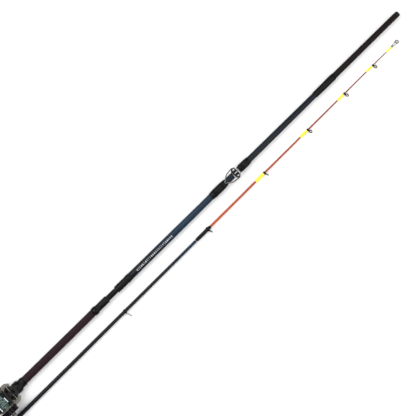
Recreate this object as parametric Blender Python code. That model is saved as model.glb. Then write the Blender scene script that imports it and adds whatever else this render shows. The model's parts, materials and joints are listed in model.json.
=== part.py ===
"""Two-piece boat rod, laid out for storage, with a low-profile multiplier reel on its handle.

The butt cap's end face is the origin, +X runs along the butt section to its far end and +Z is up,
on the side that the reel stands on.  The tip section lies beside the butt section, at -Y.
"""
import math

import bmesh
import bpy
from mathutils import Euler, Matrix, Vector

MM = 0.001

# ---------------------------------------------------------------- driving dimensions, handle
BUTT_CAP_LENGTH = 30 * MM
BUTT_CAP_RADIUS = 14 * MM
REAR_GRIP_LENGTH = 282 * MM
REAR_GRIP_RADIUS = 13 * MM
SEAT_LENGTH = 160 * MM
SEAT_RADIUS = 9.6 * MM
CORE_RADIUS = 7.3 * MM
FRONT_HOOD_LENGTH = 28 * MM
FRONT_HOOD_WALL = 0.7 * MM
HOOD_MOUTH_WALL = 3.9 * MM
SLIDING_HOOD_LENGTH = 24 * MM
LOCK_NUT_LENGTH = 12 * MM
FOOT_HALF_LENGTH = 44 * MM
FOOT_HALF_WIDTH = 4.5 * MM
FOOT_THICKNESS = 1.6 * MM
FOOT_GRIP = 9 * MM
FOREGRIP_LENGTH = 211 * MM
FOREGRIP_RADIUS = 9.1 * MM
FOREGRIP_FRONT_RADIUS = 8.6 * MM
FOREGRIP_RING_LENGTH = 14 * MM
FOREGRIP_RING_RADIUS = 9.9 * MM
SOCKET_LENGTH = 31 * MM
SOCKET_RADIUS = 8.3 * MM
THREAD_LENGTH = 26 * MM
THREAD_RADIUS = 6.9 * MM
THREAD_PITCH = 3.2 * MM
THREAD_DEPTH = 0.6 * MM
SPIGOT_RADIUS = 5.2 * MM
SPIGOT_INSERTION = 95 * MM

# ---------------------------------------------------------------- driving dimensions, butt section
NUT_LENGTH = 31 * MM
NUT_RADIUS = 8.4 * MM
NUT_BACKOFF = 2 * MM
COLLAR_LENGTH = 13 * MM
COLLAR_RADIUS = 9.2 * MM
NECK_RADIUS = 6.6 * MM
BLANK_LENGTH = 566 * MM
BLANK_RADIUS = 8.2 * MM
BLANK_FRONT_RADIUS = 6.45 * MM
BLANK_WALL = 1.6 * MM
STRIPPER_DISTANCE = 323 * MM
STRIPPER_REAR_WRAP_LENGTH = 46 * MM
STRIPPER_FRONT_WRAP_LENGTH = 32 * MM
STRIPPER_WRAP_HEIGHT = 1.5 * MM
STRIPPER_REAR_REACH = 29.8 * MM
STRIPPER_FRONT_REACH = 9 * MM
STRIPPER_RING_RADIUS = 14 * MM
STRIPPER_BORE_RADIUS = 10 * MM
STRIPPER_LEAN = math.radians(30)
STRIPPER_CLEARANCE = 3 * MM       # from the blank to the ring
STRIPPER_RING_WIDTH = 3 * MM
STRIPPER_INSERT_WALL = 2 * MM
STRIPPER_FOOT_LENGTH = 5 * MM
STRIPPER_WIRE_RADIUS = 1.1 * MM
FERRULE_LENGTH = 251 * MM
FERRULE_RADIUS = 6.85 * MM
FERRULE_FRONT_RADIUS = 6.35 * MM
FERRULE_WRAP_LENGTH = 59 * MM
FERRULE_WRAP_RADIUS = 7.95 * MM
FERRULE_BORE_RADIUS = 5.1 * MM
PLUG_STEM_LENGTH = 28 * MM
PLUG_HEAD_LENGTH = 8 * MM

# ---------------------------------------------------------------- driving dimensions, tip section
TIP_START_X = 335 * MM
TIP_OFFSET_Y = 48.7 * MM
TIP_YAW = math.radians(0.28)
TIP_CAP_LENGTH = 26 * MM
TIP_CAP_RADIUS = 6.3 * MM
LOWER_LENGTH = 622 * MM
LOWER_RADIUS = 4.95 * MM
LOWER_FRONT_RADIUS = 3.2 * MM
SPLICE_LENGTH = 46 * MM
SPLICE_RADIUS = 4.2 * MM
GLASS_LENGTH = 609.7 * MM
GLASS_RADIUS = 2.9 * MM
GLASS_TIP_RADIUS = 1.1 * MM
GUIDE_LEAN = math.radians(18)
GUIDE_COLLAR_LENGTH = 4 * MM
WRAP_HEIGHT = 0.75 * MM
# distance from the section's lower end, distance of the ring's centre from the rod's axis,
# ring's outer and bore radius, turn of the ring about its leg in degrees, length of the yellow
# wrap behind the guide, if it has one
GUIDES = (
    (404 * MM, 13.6 * MM, 6.0 * MM, 4.3 * MM, 0, 0),
    (661 * MM, 9.2 * MM, 4.1 * MM, 2.8 * MM, 0, 0),
    (837 * MM, 7.1 * MM, 4.0 * MM, 2.6 * MM, 0, 25 * MM),
    (971.5 * MM, 6.8 * MM, 4.3 * MM, 2.6 * MM, 40, 21 * MM),
    (1085 * MM, 6.5 * MM, 4.3 * MM, 2.6 * MM, 40, 19 * MM),
    (1173.5 * MM, 6.2 * MM, 4.3 * MM, 2.6 * MM, 40, 18 * MM),
)
GUIDE_RING_WIDTH = 1.8 * MM
GUIDE_COLLAR_WALL = 0.9 * MM
GUIDE_LEG_RADIUS = 0.8 * MM
TIP_WRAP_LENGTH = 15 * MM
TIP_TUBE_LENGTH = 3.2 * MM
TIP_TUBE_WALL = 0.7 * MM
TIP_TUBE_END = 2 * MM
TIP_LEG_LENGTH = 11.8 * MM
TIP_LEG_RADIUS = 0.7 * MM
TIP_RING_RADIUS = 4.2 * MM
TIP_RING_BORE = 2.6 * MM
TIP_RING_LEAN = math.radians(58)

# ---------------------------------------------------------------- driving dimensions, reel
SPOOL_CLEARANCE = 8.4 * MM        # from the seat to the flanges
FRAME_INNER_HALF = 17.5 * MM
FRAME_WALL = 3 * MM
CHEEK_MARGIN = 4 * MM             # cheeks beyond the flanges
NOSE_REACH = 26 * MM              # ahead of the flanges
NOSE_HALF_WIDTH = 26.5 * MM
NOSE_RECESS_HALF = 18 * MM
NOSE_CORNER = 15 * MM
NOSE_THICKNESS = 7 * MM
NOSE_DROP = 6 * MM                # below the spool's centre
SPOOL_FLANGE_RADIUS = 14 * MM
SPOOL_ARBOR_RADIUS = 7 * MM
LINE_RADIUS = 12.4 * MM
SPOOL_HALF_WIDTH = 16.5 * MM
SPOOL_SHAFT_RADIUS = 1.5 * MM
BEARING_RADIUS = 4 * MM
PILLAR_RADIUS = 1.5 * MM
GEAR_MODULE = 0.6 * MM
DRIVE_TEETH = 50
PINION_TEETH = 10
GEAR_DROP = math.radians(20)
GEAR_WIDTH = 3 * MM
COVER_WALL = 2 * MM
COVER_DEPTH = 13.5 * MM
PALM_DEPTH = 8 * MM
DRIVE_SHAFT_RADIUS = 2.4 * MM
DRAG_RADIUS = 10 * MM
DRAG_THICKNESS = 2.4 * MM
STAR_RADIUS = 15 * MM
STAR_PLACE = 43 * MM
STAR_THICKNESS = 3 * MM
ARM_PLACE = 60 * MM
ARM_REACH = 32 * MM
ARM_THICKNESS = 2.4 * MM
KNOB_LENGTH = 22 * MM
KNOB_RADIUS = 7.2 * MM
WORM_AHEAD = 12 * MM              # ahead of the flanges
WORM_DROP = 12 * MM               # below the spool's centre
WORM_RADIUS = 2 * MM
CARRIAGE_HALF_WIDTH = 4.5 * MM
CARRIAGE_HALF_DEPTH = 4.6 * MM
LINE_EYE_RADIUS = 3.3 * MM
PIN_RADIUS = 1.5 * MM

# ---------------------------------------------------------------- named clearances
GAP = 0.3 * MM            # between pieces that touch
FLANGE_CLEARANCE = 0.8 * MM  # from the spool's flanges to what stands round them
RUN = 0.1 * MM            # radial, running fits
BACKLASH = 0.25 * MM      # added to the gears' centre distance

ROUND = 24
SMALL_ROUND = 12
FULL_TURN = 2 * math.pi

# ---------------------------------------------------------------- stations worked out from the above
GRIP_START = BUTT_CAP_LENGTH + GAP
SEAT_START = GRIP_START + REAR_GRIP_LENGTH + GAP
SEAT_END = SEAT_START + SEAT_LENGTH
FRONT_HOOD_START = SEAT_END - FRONT_HOOD_LENGTH
FOREGRIP_START = SEAT_END + GAP
RING_START = FOREGRIP_START + FOREGRIP_LENGTH + GAP
SOCKET_START = RING_START + FOREGRIP_RING_LENGTH
THREAD_START = SOCKET_START + SOCKET_LENGTH
THREAD_END = THREAD_START + THREAD_LENGTH
NUT_START = THREAD_END + NUT_BACKOFF
COLLAR_START = NUT_START + NUT_LENGTH + GAP
BLANK_START = COLLAR_START + COLLAR_LENGTH + GAP
BLANK_END = BLANK_START + BLANK_LENGTH
FERRULE_START = BLANK_END + GAP
FERRULE_END = FERRULE_START + FERRULE_LENGTH
REEL_X = FRONT_HOOD_START + FOOT_GRIP - FOOT_HALF_LENGTH
SLIDING_HOOD_END = REEL_X - FOOT_HALF_LENGTH + FOOT_GRIP
SLIDING_HOOD_START = SLIDING_HOOD_END - SLIDING_HOOD_LENGTH
FRONT_HOOD_RADIUS = SEAT_RADIUS + GAP + FRONT_HOOD_WALL
HOOD_MOUTH_RADIUS = SEAT_RADIUS + GAP + HOOD_MOUTH_WALL
FLANGE_FRONT = REEL_X + SPOOL_FLANGE_RADIUS
FLANGE_REAR = REEL_X - SPOOL_FLANGE_RADIUS
SPOOL_HEIGHT = SEAT_RADIUS + SPOOL_CLEARANCE + SPOOL_FLANGE_RADIUS
NOSE_HEIGHT = SPOOL_HEIGHT - NOSE_DROP
NOSE_LENGTH = SPOOL_FLANGE_RADIUS + NOSE_REACH
NOSE_FRONT = REEL_X + NOSE_LENGTH
FRAME_CHEEK_RADIUS = SPOOL_FLANGE_RADIUS + CHEEK_MARGIN
FOOT_TOP = SEAT_RADIUS + GAP + FOOT_THICKNESS
SPOOL_CENTRE = Vector((REEL_X, 0, SPOOL_HEIGHT))
GEAR_DISTANCE = GEAR_MODULE * (DRIVE_TEETH + PINION_TEETH) / 2 + BACKLASH
DRIVE_CENTRE = SPOOL_CENTRE - GEAR_DISTANCE * Vector((math.cos(GEAR_DROP), 0, math.sin(GEAR_DROP)))
WORM_X = FLANGE_FRONT + WORM_AHEAD
WORM_HEIGHT = SPOOL_HEIGHT - WORM_DROP
WORM_CENTRE = Vector((WORM_X, 0, WORM_HEIGHT))
RAIL_RISE = 2 * WORM_RADIUS + PILLAR_RADIUS + 1 * MM
WALL_OUTER = FRAME_INNER_HALF + FRAME_WALL
COVER_START = WALL_OUTER + GAP
COVER_END = COVER_START + COVER_DEPTH
GEAR_START = COVER_START + 3 * MM
COVER_ROOM = GEAR_MODULE * (DRIVE_TEETH + 2) / 2 + 0.8 * MM
COVER_RADIUS = COVER_ROOM + COVER_WALL
TIP_HEIGHT = TIP_CAP_RADIUS - BUTT_CAP_RADIUS

FINISHES = {
    "grip_weave": ((0.035, 0.028, 0.034), 0.0, 0.55),
    "soft_black": ((0.012, 0.012, 0.013), 0.0, 0.7),
    "gloss_black": ((0.010, 0.010, 0.012), 0.0, 0.15),
    "blank_blue": ((0.016, 0.022, 0.032), 0.1, 0.2),
    "matte_brown": ((0.022, 0.016, 0.014), 0.0, 0.5),
    "orange_glass": ((0.45, 0.06, 0.005), 0.0, 0.25),
    "yellow_thread": ((0.90, 0.80, 0.01), 0.0, 0.35),
    "steel": ((0.60, 0.59, 0.56), 1.0, 0.2),
    "chrome": ((0.85, 0.86, 0.88), 1.0, 0.08),
    "ceramic": ((0.015, 0.015, 0.016), 0.0, 0.1),
    "olive_metal": ((0.12, 0.115, 0.095), 0.8, 0.35),
    "brass": ((0.65, 0.45, 0.16), 1.0, 0.3),
    "braid": ((0.05, 0.20, 0.17), 0.0, 0.6),
}


# ---------------------------------------------------------------- general helpers
def clear_scene():
    for obj in list(bpy.data.objects):
        bpy.data.objects.remove(obj, do_unlink=True)


def finish_material(name):
    material = bpy.data.materials.get(name)
    if material is None:
        colour, metallic, roughness = FINISHES[name]
        material = bpy.data.materials.new(name)
        material.use_nodes = True
        shader = material.node_tree.nodes["Principled BSDF"]
        shader.inputs["Base Color"].default_value = (*colour, 1)
        shader.inputs["Metallic"].default_value = metallic
        shader.inputs["Roughness"].default_value = roughness
    return material


def add_mesh(name, bm, finish, parent=None, smooth=True):
    """Closes the mesh off, points its faces outwards and puts it in the scene."""
    bmesh.ops.remove_doubles(bm, verts=bm.verts, dist=1e-6)
    bmesh.ops.recalc_face_normals(bm, faces=bm.faces)
    mesh = bpy.data.meshes.new(name)
    bm.to_mesh(mesh)
    bm.free()
    if smooth:
        mesh.shade_smooth()
        mesh.set_sharp_from_angle(angle=math.radians(35))
    mesh.materials.append(finish_material(finish))
    obj = bpy.data.objects.new(name, mesh)
    obj.parent = parent
    bpy.context.scene.collection.objects.link(obj)
    return obj


def add_empty(name, place, turn=(0, 0, 0), parent=None):
    empty = bpy.data.objects.new(name, None)
    empty.empty_display_size = 0.01
    empty.location = place
    empty.rotation_euler = Euler(turn)
    empty.parent = parent
    bpy.context.scene.collection.objects.link(empty)
    return empty


def turned_mesh(profile, sides=ROUND, along="X"):
    """Spins a profile of (station, radius) points about the axis; a loop away from it is a tube."""
    bm = bmesh.new()
    points = [bm.verts.new((station, 0, radius)) for station, radius in profile]
    edges = []
    for first, second in zip(points, points[1:] + points[:1]):
        if first.co.z > 0 or second.co.z > 0:
            edges.append(bm.edges.new((first, second)))
    bmesh.ops.spin(bm, geom=points + edges, cent=(0, 0, 0), axis=(1, 0, 0), angle=FULL_TURN,
                   steps=sides, use_merge=True)
    bmesh.ops.remove_doubles(bm, verts=bm.verts, dist=1e-6)
    turns = {"X": Matrix.Identity(4), "Y": Matrix.Rotation(math.pi / 2, 4, "Z")}
    bm.transform(turns[along])
    return bm


def turned(name, profile, finish, sides=ROUND, along="X", parent=None):
    return add_mesh(name, turned_mesh(profile, sides, along), finish, parent)


def tube_profile(start, end, outer, inner, outer_end=None, inner_end=None):
    """A tube's closed profile; the end radii are given when it tapers."""
    outer_end = outer if outer_end is None else outer_end
    inner_end = inner if inner_end is None else inner_end
    return [(start, outer), (end, outer_end), (end, inner_end), (start, inner)]


def prism_mesh(outline, low, high, along="Y"):
    """Extrudes an outline: (x, z) points along Y, or (x, y) points along Z."""
    bm = bmesh.new()
    if along == "Y":
        points = [bm.verts.new((a, low, b)) for a, b in outline]
        step = Vector((0, high - low, 0))
    else:
        points = [bm.verts.new((a, b, low)) for a, b in outline]
        step = Vector((0, 0, high - low))
    face = bm.faces.new(points)
    grown = bmesh.ops.extrude_face_region(bm, geom=[face])
    moved = [item for item in grown["geom"] if isinstance(item, bmesh.types.BMVert)]
    bmesh.ops.translate(bm, verts=moved, vec=step)
    return bm


def arc(centre, radius, start, end, steps):
    """Points on an arc, in degrees, with both ends."""
    turn = [math.radians(start + (end - start) * i / steps) for i in range(steps + 1)]
    return [(centre[0] + radius * math.cos(a), centre[1] + radius * math.sin(a)) for a in turn]


def rod_mesh(start, end, radius, end_radius=None, sides=8):
    """A straight round bar between two points."""
    start, end = Vector(start), Vector(end)
    length = (end - start).length
    end_radius = radius if end_radius is None else end_radius
    bm = turned_mesh([(0, 0), (0, radius), (length, end_radius), (length, 0)], sides)
    turn = Vector((1, 0, 0)).rotation_difference(end - start).to_matrix().to_4x4()
    bm.transform(Matrix.Translation(start) @ turn)
    return bm


def hide_tool(obj):
    obj.hide_render = True
    obj.display_type = "WIRE"


def combine(obj, bm, operation):
    """Adds a Boolean with a tool made from the mesh, which shares the piece's parent."""
    tool = add_mesh(obj.name + "_tool", bm, "steel", obj.parent, smooth=False)
    hide_tool(tool)
    modifier = obj.modifiers.new(operation.title(), "BOOLEAN")
    modifier.operation = operation
    modifier.solver = "EXACT"
    modifier.object = tool


def cut(obj, bm):
    combine(obj, bm, "DIFFERENCE")


def join(obj, bm):
    combine(obj, bm, "UNION")


# ---------------------------------------------------------------- handle
def make_handle():
    chamfer = 1.5 * MM
    turned("butt_cap", [(0, 0), (0, BUTT_CAP_RADIUS - chamfer), (chamfer, BUTT_CAP_RADIUS),
                        (BUTT_CAP_LENGTH, BUTT_CAP_RADIUS), (BUTT_CAP_LENGTH, 0)], "soft_black")
    bore = CORE_RADIUS + GAP
    hollow = SPIGOT_RADIUS + GAP
    turned("reel_seat_tube",
           [(GRIP_START, CORE_RADIUS), (SEAT_START, CORE_RADIUS), (SEAT_START, SEAT_RADIUS),
            (SEAT_END, SEAT_RADIUS), (SEAT_END, CORE_RADIUS), (SOCKET_START - GAP, CORE_RADIUS),
            (SOCKET_START - GAP, hollow), (GRIP_START, hollow)], "gloss_black")
    turned("rear_grip", tube_profile(GRIP_START, GRIP_START + REAR_GRIP_LENGTH,
                                     REAR_GRIP_RADIUS, bore), "grip_weave")
    turned("foregrip", tube_profile(FOREGRIP_START, FOREGRIP_START + FOREGRIP_LENGTH,
                                    FOREGRIP_RADIUS, bore, FOREGRIP_FRONT_RADIUS), "grip_weave")
    make_hoods()
    make_socket()


def foot_pocket(start, end):
    """The room that the reel's foot takes inside a hood."""
    low = SEAT_RADIUS - GAP
    high = SEAT_RADIUS + 2 * GAP + FOOT_THICKNESS
    half = FOOT_HALF_WIDTH + GAP
    return prism_mesh([(start, low), (end, low), (end, high), (start, high)], -half, half)


def make_hoods():
    bore = SEAT_RADIUS + GAP
    mouth = FOOT_GRIP + 3 * MM
    front = turned("front_hood",
                   [(FRONT_HOOD_START, HOOD_MOUTH_RADIUS),
                    (FRONT_HOOD_START + mouth, HOOD_MOUTH_RADIUS),
                    (FRONT_HOOD_START + mouth * 1.4, FRONT_HOOD_RADIUS),
                    (SEAT_END, FRONT_HOOD_RADIUS), (SEAT_END, bore), (FRONT_HOOD_START, bore)],
                   "gloss_black")
    cut(front, foot_pocket(FRONT_HOOD_START - 1 * MM, FRONT_HOOD_START + FOOT_GRIP + GAP))
    sliding = turned("sliding_hood", tube_profile(SLIDING_HOOD_START, SLIDING_HOOD_END,
                                                  HOOD_MOUTH_RADIUS, bore), "gloss_black")
    cut(sliding, foot_pocket(SLIDING_HOOD_END - FOOT_GRIP - GAP, SLIDING_HOOD_END + 1 * MM))
    nut_end = SLIDING_HOOD_START - GAP
    turned("lock_nut", tube_profile(nut_end - LOCK_NUT_LENGTH, nut_end, HOOD_MOUTH_RADIUS - 1 * MM,
                                    bore), "olive_metal")


def make_socket():
    """The handle's front end: a raised ring, a barrel and the grooves of a coarse male thread."""
    ring = FOREGRIP_RING_LENGTH
    profile = [(RING_START, FOREGRIP_FRONT_RADIUS), (RING_START + ring * 0.3, FOREGRIP_RING_RADIUS),
               (RING_START + ring * 0.75, FOREGRIP_RING_RADIUS), (RING_START + ring, SOCKET_RADIUS),
               (THREAD_START, SOCKET_RADIUS), (THREAD_START, THREAD_RADIUS - THREAD_DEPTH)]
    turns = int(THREAD_LENGTH / THREAD_PITCH)
    for turn in range(turns):
        crest = THREAD_START + (turn + 0.5) * THREAD_PITCH
        profile += [(crest - 0.2 * THREAD_PITCH, THREAD_RADIUS),
                    (crest + 0.2 * THREAD_PITCH, THREAD_RADIUS),
                    (crest + 0.5 * THREAD_PITCH, THREAD_RADIUS - THREAD_DEPTH)]
    bore = SPIGOT_RADIUS + GAP
    profile += [(THREAD_END, THREAD_RADIUS - THREAD_DEPTH), (THREAD_END, bore),
                (SOCKET_START, bore), (SOCKET_START, CORE_RADIUS + GAP),
                (RING_START, CORE_RADIUS + GAP)]
    turned("joint_socket", profile, "gloss_black", 20)


# ---------------------------------------------------------------- butt section
def blank_radius(x):
    return BLANK_RADIUS + (BLANK_FRONT_RADIUS - BLANK_RADIUS) * (x - BLANK_START) / BLANK_LENGTH


def wrap_mesh(start, end, height, radius_at, sides=ROUND):
    """Thread wound round a blank: a thin sleeve that swells at its middle."""
    quarter = (end - start) / 4
    profile = [(start, radius_at(start) + GAP + 0.35 * height),
               (start + quarter, radius_at(start + quarter) + GAP + height),
               (end - quarter, radius_at(end - quarter) + GAP + height),
               (end, radius_at(end) + GAP + 0.35 * height),
               (end, radius_at(end) + GAP), (start, radius_at(start) + GAP)]
    return turned_mesh(profile, sides)


def make_butt_section():
    inner = SPIGOT_RADIUS - BLANK_WALL
    room = BLANK_START + 6 * MM
    turned("butt_blank",
           [(THREAD_END - SPIGOT_INSERTION, SPIGOT_RADIUS), (THREAD_END + GAP, SPIGOT_RADIUS),
            (THREAD_END + GAP, NECK_RADIUS), (BLANK_START, NECK_RADIUS),
            (BLANK_START, BLANK_RADIUS), (BLANK_END, BLANK_FRONT_RADIUS),
            (BLANK_END, BLANK_FRONT_RADIUS - BLANK_WALL), (room, BLANK_RADIUS - BLANK_WALL),
            (room, inner), (THREAD_END - SPIGOT_INSERTION, inner)], "blank_blue")
    turned("coupling_nut",
           tube_profile(NUT_START, NUT_START + NUT_LENGTH, NUT_RADIUS, THREAD_RADIUS + GAP),
           "gloss_black")
    turned("blank_collar",
           tube_profile(COLLAR_START, COLLAR_START + COLLAR_LENGTH, COLLAR_RADIUS,
                        NECK_RADIUS + GAP, BLANK_RADIUS + 0.4 * MM), "gloss_black")
    make_stripper()
    make_ferrule()


def make_stripper():
    """The first guide: a polished frame on two feet round a hard black ring."""
    ring_x = BLANK_START + STRIPPER_DISTANCE
    rear_foot = ring_x - STRIPPER_REAR_REACH
    front_foot = ring_x + STRIPPER_FRONT_REACH
    spans = {"stripper_wrap_rear": (rear_foot - STRIPPER_REAR_WRAP_LENGTH, rear_foot - GAP),
             "stripper_wrap_front": (front_foot + GAP, front_foot + STRIPPER_FRONT_WRAP_LENGTH)}
    for name, (start, end) in spans.items():
        add_mesh(name, wrap_mesh(start, end, STRIPPER_WRAP_HEIGHT, blank_radius), "gloss_black")
    ring_height = blank_radius(ring_x) + STRIPPER_RING_RADIUS + STRIPPER_CLEARANCE
    centre = add_empty("stripper_centre", (ring_x, 0, ring_height))
    lean = Matrix.Rotation(STRIPPER_LEAN, 4, "Y")
    half = STRIPPER_RING_WIDTH / 2
    seat = STRIPPER_BORE_RADIUS + STRIPPER_INSERT_WALL
    frame_mesh = turned_mesh(tube_profile(-half, half, STRIPPER_RING_RADIUS, seat + GAP))
    frame_mesh.transform(lean)
    frame = add_mesh("stripper_frame", frame_mesh, "steel", centre)
    foot = STRIPPER_FOOT_LENGTH
    wire = STRIPPER_WIRE_RADIUS
    for start, end in ((rear_foot, rear_foot + foot), (front_foot - foot, front_foot)):
        bore = blank_radius(start) + GAP
        collar = turned_mesh(tube_profile(start - ring_x, end - ring_x, bore + 1.5 * wire, bore))
        collar.transform(Matrix.Translation((0, 0, -ring_height)))
        join(frame, collar)
    foot_top = blank_radius(rear_foot) + GAP + 1.4 * wire - ring_height
    side = STRIPPER_RING_RADIUS - 0.2 * MM
    for y in (-side, side):
        start = (rear_foot + foot / 2 - ring_x, y * 0.15, foot_top)
        join(frame, rod_mesh(start, (-half, y, 0), wire))
    lowest = lean @ Vector((half, 0, -side))
    join(frame, rod_mesh(lowest, (front_foot - foot / 2 - ring_x, 0, foot_top), wire))
    insert = turned_mesh(tube_profile(-half * 1.2, half * 1.2, seat, STRIPPER_BORE_RADIUS))
    insert.transform(lean)
    add_mesh("stripper_ring", insert, "ceramic", centre)


def make_ferrule():
    turned("ferrule_sleeve", tube_profile(FERRULE_START, FERRULE_END, FERRULE_RADIUS,
                                          FERRULE_BORE_RADIUS, FERRULE_FRONT_RADIUS), "matte_brown")
    wrap_end = FERRULE_START + FERRULE_WRAP_LENGTH
    bore = FERRULE_RADIUS + GAP
    turned("ferrule_wrap",
           [(FERRULE_START, bore + 0.2 * MM), (wrap_end - 8 * MM, FERRULE_WRAP_RADIUS),
            (wrap_end - 2 * MM, FERRULE_WRAP_RADIUS), (wrap_end, bore + 0.2 * MM),
            (wrap_end, bore), (FERRULE_START, bore)], "gloss_black")
    face = FERRULE_END + GAP
    stem = FERRULE_BORE_RADIUS - RUN
    turned("end_plug",
           [(FERRULE_END - PLUG_STEM_LENGTH, 0), (FERRULE_END - PLUG_STEM_LENGTH, stem),
            (face, stem), (face, FERRULE_FRONT_RADIUS),
            (face + PLUG_HEAD_LENGTH * 0.6, FERRULE_FRONT_RADIUS * 0.96),
            (face + PLUG_HEAD_LENGTH * 0.9, FERRULE_FRONT_RADIUS * 0.7),
            (face + PLUG_HEAD_LENGTH, 0)], "soft_black")


# ---------------------------------------------------------------- tip section
def lower_radius(u):
    return LOWER_RADIUS + (LOWER_FRONT_RADIUS - LOWER_RADIUS) * u / LOWER_LENGTH


def glass_radius(u):
    share = (u - LOWER_LENGTH - GAP) / GLASS_LENGTH
    return GLASS_RADIUS + (GLASS_TIP_RADIUS - GLASS_RADIUS) * share


def tip_radius(u):
    """Radius of whatever rod is at a distance from the lower end."""
    if u < LOWER_LENGTH:
        return lower_radius(u)
    if u < LOWER_LENGTH + SPLICE_LENGTH:
        return SPLICE_RADIUS
    return glass_radius(u)


def make_guide(name, parent, place, reach, outer, bore_radius, turn):
    """A ring beside the blank, leaning towards the tip, on a collar that the thread holds."""
    half = GUIDE_RING_WIDTH / 2
    centre = Vector((place, -reach, 0))
    lean = Matrix.Rotation(GUIDE_LEAN, 4, "Z")
    ring = turned_mesh(tube_profile(-half, half, outer, bore_radius), 16)
    ring.transform(Matrix.Translation(centre) @ lean @ Matrix.Rotation(math.radians(turn), 4, "Y"))
    guide = add_mesh(name, ring, "gloss_black", parent)
    bore = tip_radius(place) + GAP
    start = place - GUIDE_COLLAR_LENGTH
    join(guide, turned_mesh(tube_profile(start, place, bore + GUIDE_COLLAR_WALL, bore), 16))
    rim = centre + lean.to_3x3() @ Vector((0, (outer + bore_radius) / 2, 0))
    foot = (place - GUIDE_COLLAR_LENGTH / 2, -(bore + GUIDE_COLLAR_WALL / 2), 0)
    join(guide, rod_mesh(foot, rim, GUIDE_LEG_RADIUS, sides=6))


def make_tip_section():
    base = add_empty("tip_section", (TIP_START_X, -TIP_OFFSET_Y, TIP_HEIGHT), (0, 0, TIP_YAW))
    cap_bore = LOWER_RADIUS + GAP
    turned("tip_section_cap",
           [(-3 * MM, 0), (-3 * MM, TIP_CAP_RADIUS - 1 * MM), (-2 * MM, TIP_CAP_RADIUS),
            (TIP_CAP_LENGTH, TIP_CAP_RADIUS), (TIP_CAP_LENGTH, cap_bore),
            (-GAP, cap_bore), (-GAP, 0)], "soft_black", parent=base)
    turned("lower_blank", [(0, 0), (0, LOWER_RADIUS), (LOWER_LENGTH, LOWER_FRONT_RADIUS),
                           (LOWER_LENGTH, 0)], "blank_blue", 20, parent=base)
    turned("splice_sleeve",
           [(LOWER_LENGTH + GAP, 0), (LOWER_LENGTH + GAP, LOWER_FRONT_RADIUS),
            (LOWER_LENGTH + 6 * MM, SPLICE_RADIUS),
            (LOWER_LENGTH + SPLICE_LENGTH - 8 * MM, SPLICE_RADIUS),
            (LOWER_LENGTH + SPLICE_LENGTH, GLASS_RADIUS + 0.3 * MM),
            (LOWER_LENGTH + SPLICE_LENGTH, 0)], "gloss_black", 20, parent=base)
    glass_start = LOWER_LENGTH + SPLICE_LENGTH + GAP
    glass_end = LOWER_LENGTH + GAP + GLASS_LENGTH
    turned("glass_tip", [(glass_start, 0), (glass_start, glass_radius(glass_start)),
                         (glass_end, GLASS_TIP_RADIUS), (glass_end, 0)], "orange_glass", 16,
           parent=base)
    tube_start = glass_end - TIP_TUBE_LENGTH
    spans = {"tip_wrap": (tube_start - GAP - TIP_WRAP_LENGTH, tube_start - GAP)}
    for number, (place, reach, outer, bore_radius, turn, wrap) in enumerate(GUIDES, start=1):
        make_guide("guide_%d" % number, base, place, reach, outer, bore_radius, turn)
        if wrap:
            end = place - GUIDE_COLLAR_LENGTH - GAP
            spans["guide_%d_wrap" % number] = (end - wrap, end)
    for name, (start, end) in spans.items():
        wrap = wrap_mesh(start, end, WRAP_HEIGHT, tip_radius, 16)
        add_mesh(name, wrap, "yellow_thread", base)
    make_tip_top(base, glass_end)


def make_tip_top(base, glass_end):
    """The ring at the very end, leaning back, on two legs from a short tube over the glass."""
    tube_start = glass_end - TIP_TUBE_LENGTH
    tube_end = glass_end + TIP_TUBE_END
    bore = glass_radius(tube_start) + GAP
    outer = bore + TIP_TUBE_WALL
    top = turned("tip_top", [(tube_start, outer), (tube_end, outer), (tube_end, 0),
                             (glass_end + GAP, 0), (glass_end + GAP, bore), (tube_start, bore)],
                 "steel", 16, parent=base)
    centre = Vector((tube_end + TIP_LEG_LENGTH, 0, 0))
    half = GUIDE_RING_WIDTH / 2
    ring = turned_mesh(tube_profile(-half, half, TIP_RING_RADIUS, TIP_RING_BORE), 16)
    ring.transform(Matrix.Translation(centre) @ Matrix.Rotation(TIP_RING_LEAN, 4, "Y"))
    join(top, ring)
    for side in (-1, 1):
        foot = (tube_end - TIP_LEG_RADIUS, side * (outer - TIP_LEG_RADIUS), 0)
        rim = centre + Vector((0, side * (TIP_RING_RADIUS + TIP_RING_BORE) / 2, 0))
        join(top, rod_mesh(foot, rim, TIP_LEG_RADIUS, sides=6))


# ---------------------------------------------------------------- reel, fixed pieces
def stadium(first, second, radius, steps=14):
    """Outline round two equal circles, given as (x, z) centres."""
    heading = math.degrees(math.atan2(second[1] - first[1], second[0] - first[0]))
    return (arc(second, radius, heading - 90, heading + 90, steps)
            + arc(first, radius, heading + 90, heading + 270, steps))


def circle(centre, radius, sides=ROUND):
    return arc(centre, radius, 0, 360 * (sides - 1) / sides, sides - 1)


def flat(point):
    return (point.x, point.z)


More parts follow.
